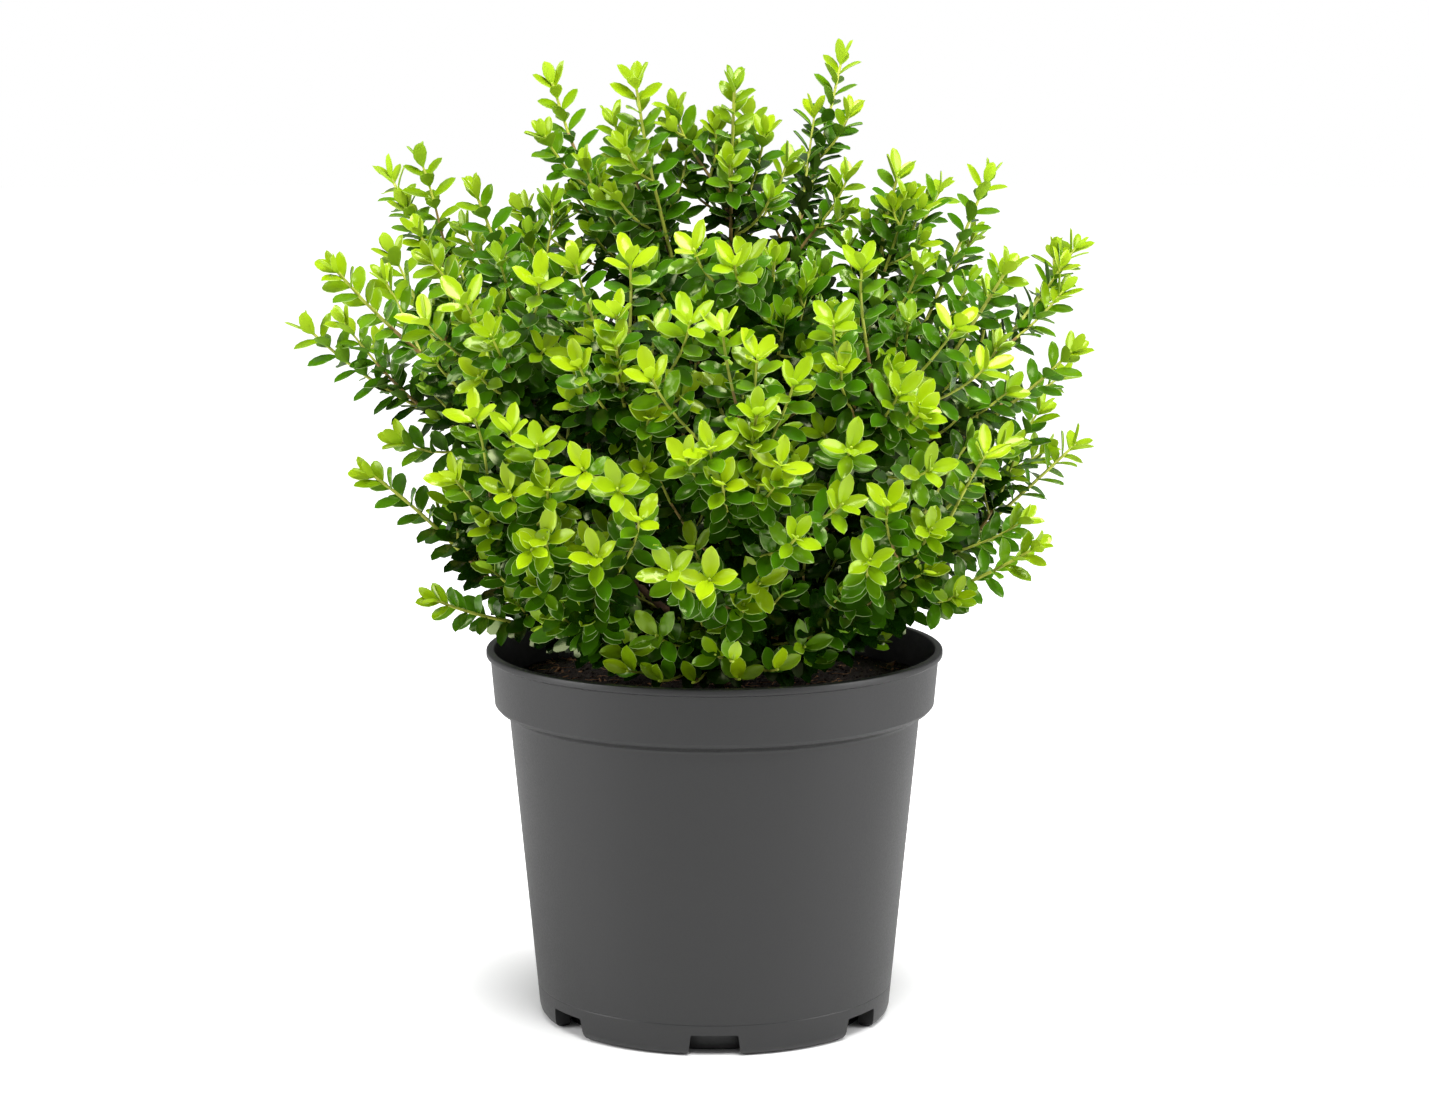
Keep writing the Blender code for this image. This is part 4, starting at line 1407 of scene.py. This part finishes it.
class BOXWOOD_OT_soil(bpy.types.Operator):
    """Build the soil's surface and the crumbs, bark chips and fibres on it"""

    bl_idname = "boxwood.soil"
    bl_label = "Soil"

    def execute(self, context):
        settings = context.scene.boxwood_soil
        peat = soil_finish(settings)
        mesh = soil_mesh()
        smooth(mesh, 60)
        soil = link("soil_bed", mesh, [peat])
        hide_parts("soil")
        grain = (900.0, 4.0, 0.6, 0.9, 0.0003, 0.6)
        wood = patchy_finish("bark_chips", settings.fibre, 0.5, 180.0, {}, grain)
        straw = patchy_finish("fibres", settings.fibre, 0.45, 150.0, {"Roughness": 0.7})
        crumbs = litter(
            "soil_crumbs", "ball", settings.crumbs, (0.0010, 0.0048), (1.0, 0.8), peat, CRUMB_SEED,
        )
        chips = litter(
            "bark_chips", "block", settings.chips, (0.0015, 0.0080), (0.55, 0.28), wood, CHIP_SEED,
        )
        limbs = fibre_paths(settings.fibres, random.Random(FIBRE_SEED))
        fibres = link("fibres", tube_mesh("fibres", limbs, 0), [straw])
        return {"FINISHED"}


class BOXWOOD_OT_bark(bpy.types.Operator):
    """Build the stem and the boughs with their bark"""

    bl_idname = "boxwood.bark"
    bl_label = "Stem and Boughs"

    def execute(self, context):
        settings = context.scene.boxwood_bark
        bark = link("stem_and_boughs", bark_mesh(crown()[0], settings.relief), [bark_finish(settings)])
        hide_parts("stem", *(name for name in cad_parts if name.startswith("bough_")))
        return {"FINISHED"}


class BOXWOOD_OT_twigs(bpy.types.Operator):
    """Build the twigs in three ages, from brown bark to green shoots"""

    bl_idname = "boxwood.twigs"
    bl_label = "Twigs"

    def execute(self, context):
        settings = context.scene.boxwood_bark
        colours = (("old", settings.colour), ("middle", settings.middle), ("young", settings.young))
        for (age, colour), limbs in zip(colours, by_age(crown()[1])):
            grain = (1100.0, 3.0, 0.45, 0.7, 0.0002, 0.5)
            finish = patchy_finish(f"twigs_{age}", colour, 0.22, 60.0, {}, grain)
            twigs = link(f"twigs_{age}", tube_mesh(f"twigs_{age}", limbs, 1), [finish])
        return {"FINISHED"}


class BOXWOOD_OT_leaves(bpy.types.Operator):
    """Build the leaves, joined by tone, and the buds at the shoots' tips"""

    bl_idname = "boxwood.leaves"
    bl_label = "Leaves"

    def execute(self, context):
        settings = context.scene.boxwood_foliage
        leaves, buds = foliage()
        outer = leaf_template(LEAF_ROWS, LEAF_COLUMNS)
        inner = leaf_template(INNER_LEAF_ROWS, INNER_LEAF_COLUMNS)
        masses = [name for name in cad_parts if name.startswith("foliage_")]
        colours = tone_colours(settings)
        for tone, colour in enumerate(colours):
            alike = [leaf for leaf in leaves if leaf.tone == tone]
            if not alike:
                continue
            template = inner if tone >= TONES - INNER_TONES else outer
            finishes = [
                blade_finish(f"leaf_{tone + 1}", colour, 0.22 - 0.003 * tone),
                margin_and_sheen_finish(f"leaf_edge_{tone + 1}", colour), underside_and_glow_finish(f"leaf_under_{tone + 1}", colour),
            ]
            piece = joined(f"leaves_{tone + 1}", template, leaf_points(template, alike), finishes, 55)
            if tone == MASS_TONE:
                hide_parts(*masses)
        bud_piece(buds, colours[0])
        return {"FINISHED"}


def bud_piece(buds, colour):
    """A small pointed bud at each shoot's tip."""
    bm = bmesh.new()
    bmesh.ops.create_icosphere(bm, subdivisions=1, radius=0.5)
    for vert in bm.verts:
        vert.co.x *= 1 - 0.7 * max(vert.co.z, 0)
        vert.co.y *= 1 - 0.7 * max(vert.co.z, 0)
    template = template_of(bm)
    places = [(tip + heading * 0.0012, frames_along([tip, tip + heading])[0]) for tip, heading in buds]
    sizes = [(0.0022, 0.0022, 0.0044)] * len(places)
    finish = patchy_finish("buds", mixed(colour, (0.7, 0.75, 0.15), 0.3), 0.12, 40.0, {"Roughness": 0.4})
    piece = joined("buds", template, placed(template, places, sizes), [finish], 80)


class BOXWOOD_OT_studio(bpy.types.Operator):
    """Build the floor, the lights and the camera"""

    bl_idname = "boxwood.studio"
    bl_label = "Studio"

    def execute(self, context):
        settings = context.scene.boxwood_studio
        scene = context.scene
        bm = bmesh.new()
        bmesh.ops.create_circle(bm, cap_ends=True, segments=96, radius=9.0)
        mesh = mesh_of("floor", bm)
        mesh.materials.append(floor_finish(settings.glow))
        floor = in_scene("floor", mesh)
        scene.world = surround_world(settings.sky, settings.backdrop)
        add_area("top_light", (0.22, -1.05, 1.95), (1.0, 1.0), settings.key)
        for name, across in (("left_light", -1.7), ("right_light", 1.7)):
            add_area(name, (across, -0.5, 0.8), (0.9, 1.5), settings.side)
        camera = bpy.data.cameras.new("camera")
        camera.lens = settings.lens
        camera.sensor_width = 36.0
        viewer = in_scene("camera", camera)
        viewer.location = (0.0, -settings.distance, settings.height)
        viewer.rotation_euler = (math.pi / 2 - settings.pitch, 0.0, 0.0)
        scene.camera = viewer
        scene.view_settings.view_transform = "Standard"
        return {"FINISHED"}


def by_sight(tree, unseen, seen):
    """A strength that is one value for light and another where the camera looks straight at it."""
    path = add_node(tree, "LightPath")
    level = add_node(tree, "MapRange", {"To Min": unseen, "To Max": seen})
    wire(tree, (path, "Is Camera Ray", level, "Value"))
    return level.outputs["Result"]


def floor_finish(glow):
    """Matte white paint, lifted to white where it is seen away from the pot."""
    made, tree, shader, place = new_material("floor_paint")
    set_values(shader, {"Base Color": (0.9, 0.9, 0.9, 1), "Roughness": 0.9, "Emission Color": (1, 1, 1, 1)})
    away = add_node(tree, "VectorMath", operation="LENGTH")
    ramp = add_node(tree, "MapRange", {"From Min": 0.09, "From Max": 0.26}, interpolation_type="SMOOTHSTEP")
    product = add_node(tree, "Math", operation="MULTIPLY")
    tree.links.new(place, away.inputs[0])
    tree.links.new(by_sight(tree, 0.0, glow), product.inputs[1])
    wire(
        tree, (away, "Value", ramp, "Value"), (ramp, "Result", product, 0),
        (product, "Value", shader, "Emission Strength"),
    )
    return made


def surround_world(light, look):
    """An even white surround."""
    world = bpy.data.worlds.new("surround")
    world.use_nodes = True
    tree = world.node_tree
    set_values(tree.nodes["Background"], {"Color": (1, 1, 1, 1)})
    tree.links.new(by_sight(tree, light, look), tree.nodes["Background"].inputs["Strength"])
    return world


def add_area(name, place, size, power):
    """A rectangular soft light that points at the crown."""
    light = bpy.data.lights.new(name, "AREA")
    light.shape = "RECTANGLE"
    light.size, light.size_y = size
    light.energy = power
    lamp = in_scene(name, light)
    lamp.location = place
    lamp.rotation_euler = (Vector((0, 0, 0.3)) - Vector(place)).to_track_quat("-Z", "Y").to_euler()


SETTINGS = (
    ("boxwood_pot", BoxwoodPotSettings), ("boxwood_soil", BoxwoodSoilSettings),
    ("boxwood_bark", BoxwoodBarkSettings), ("boxwood_foliage", BoxwoodFoliageSettings),
    ("boxwood_studio", BoxwoodStudioSettings),
)
OPERATORS = (
    BOXWOOD_OT_pot, BOXWOOD_OT_soil, BOXWOOD_OT_bark, BOXWOOD_OT_twigs, BOXWOOD_OT_leaves, BOXWOOD_OT_studio,
)


class BOXWOOD_PT_panel(bpy.types.Panel):
    """Lists the builders and their settings"""

    bl_idname = "BOXWOOD_PT_panel"
    bl_label = "Potted Boxwood"
    bl_space_type = "VIEW_3D"
    bl_region_type = "UI"
    bl_category = "Boxwood"

    def draw(self, context):
        for operator in OPERATORS:
            self.layout.operator(operator.bl_idname)
        for name, _ in SETTINGS:
            settings_rows(self.layout.box(), getattr(context.scene, name))


def register():
    """Registers the settings, operators and panel."""
    for name, group in SETTINGS:
        bpy.utils.register_class(group)
        setattr(bpy.types.Scene, name, PointerProperty(type=group))
    for operator in OPERATORS:
        bpy.utils.register_class(operator)
    bpy.utils.register_class(BOXWOOD_PT_panel)


def unregister():
    """Takes them away again."""
    bpy.utils.unregister_class(BOXWOOD_PT_panel)
    for operator in reversed(OPERATORS):
        bpy.utils.unregister_class(operator)
    for name, group in reversed(SETTINGS):
        delattr(bpy.types.Scene, name)
        bpy.utils.unregister_class(group)


def main():
    """Builds every piece and the stage."""
    register()
    bpy.ops.boxwood.pot()
    bpy.ops.boxwood.soil()
    bpy.ops.boxwood.bark()
    bpy.ops.boxwood.twigs()
    bpy.ops.boxwood.leaves()
    bpy.ops.boxwood.studio()


if __name__ == "__main__":
    main()
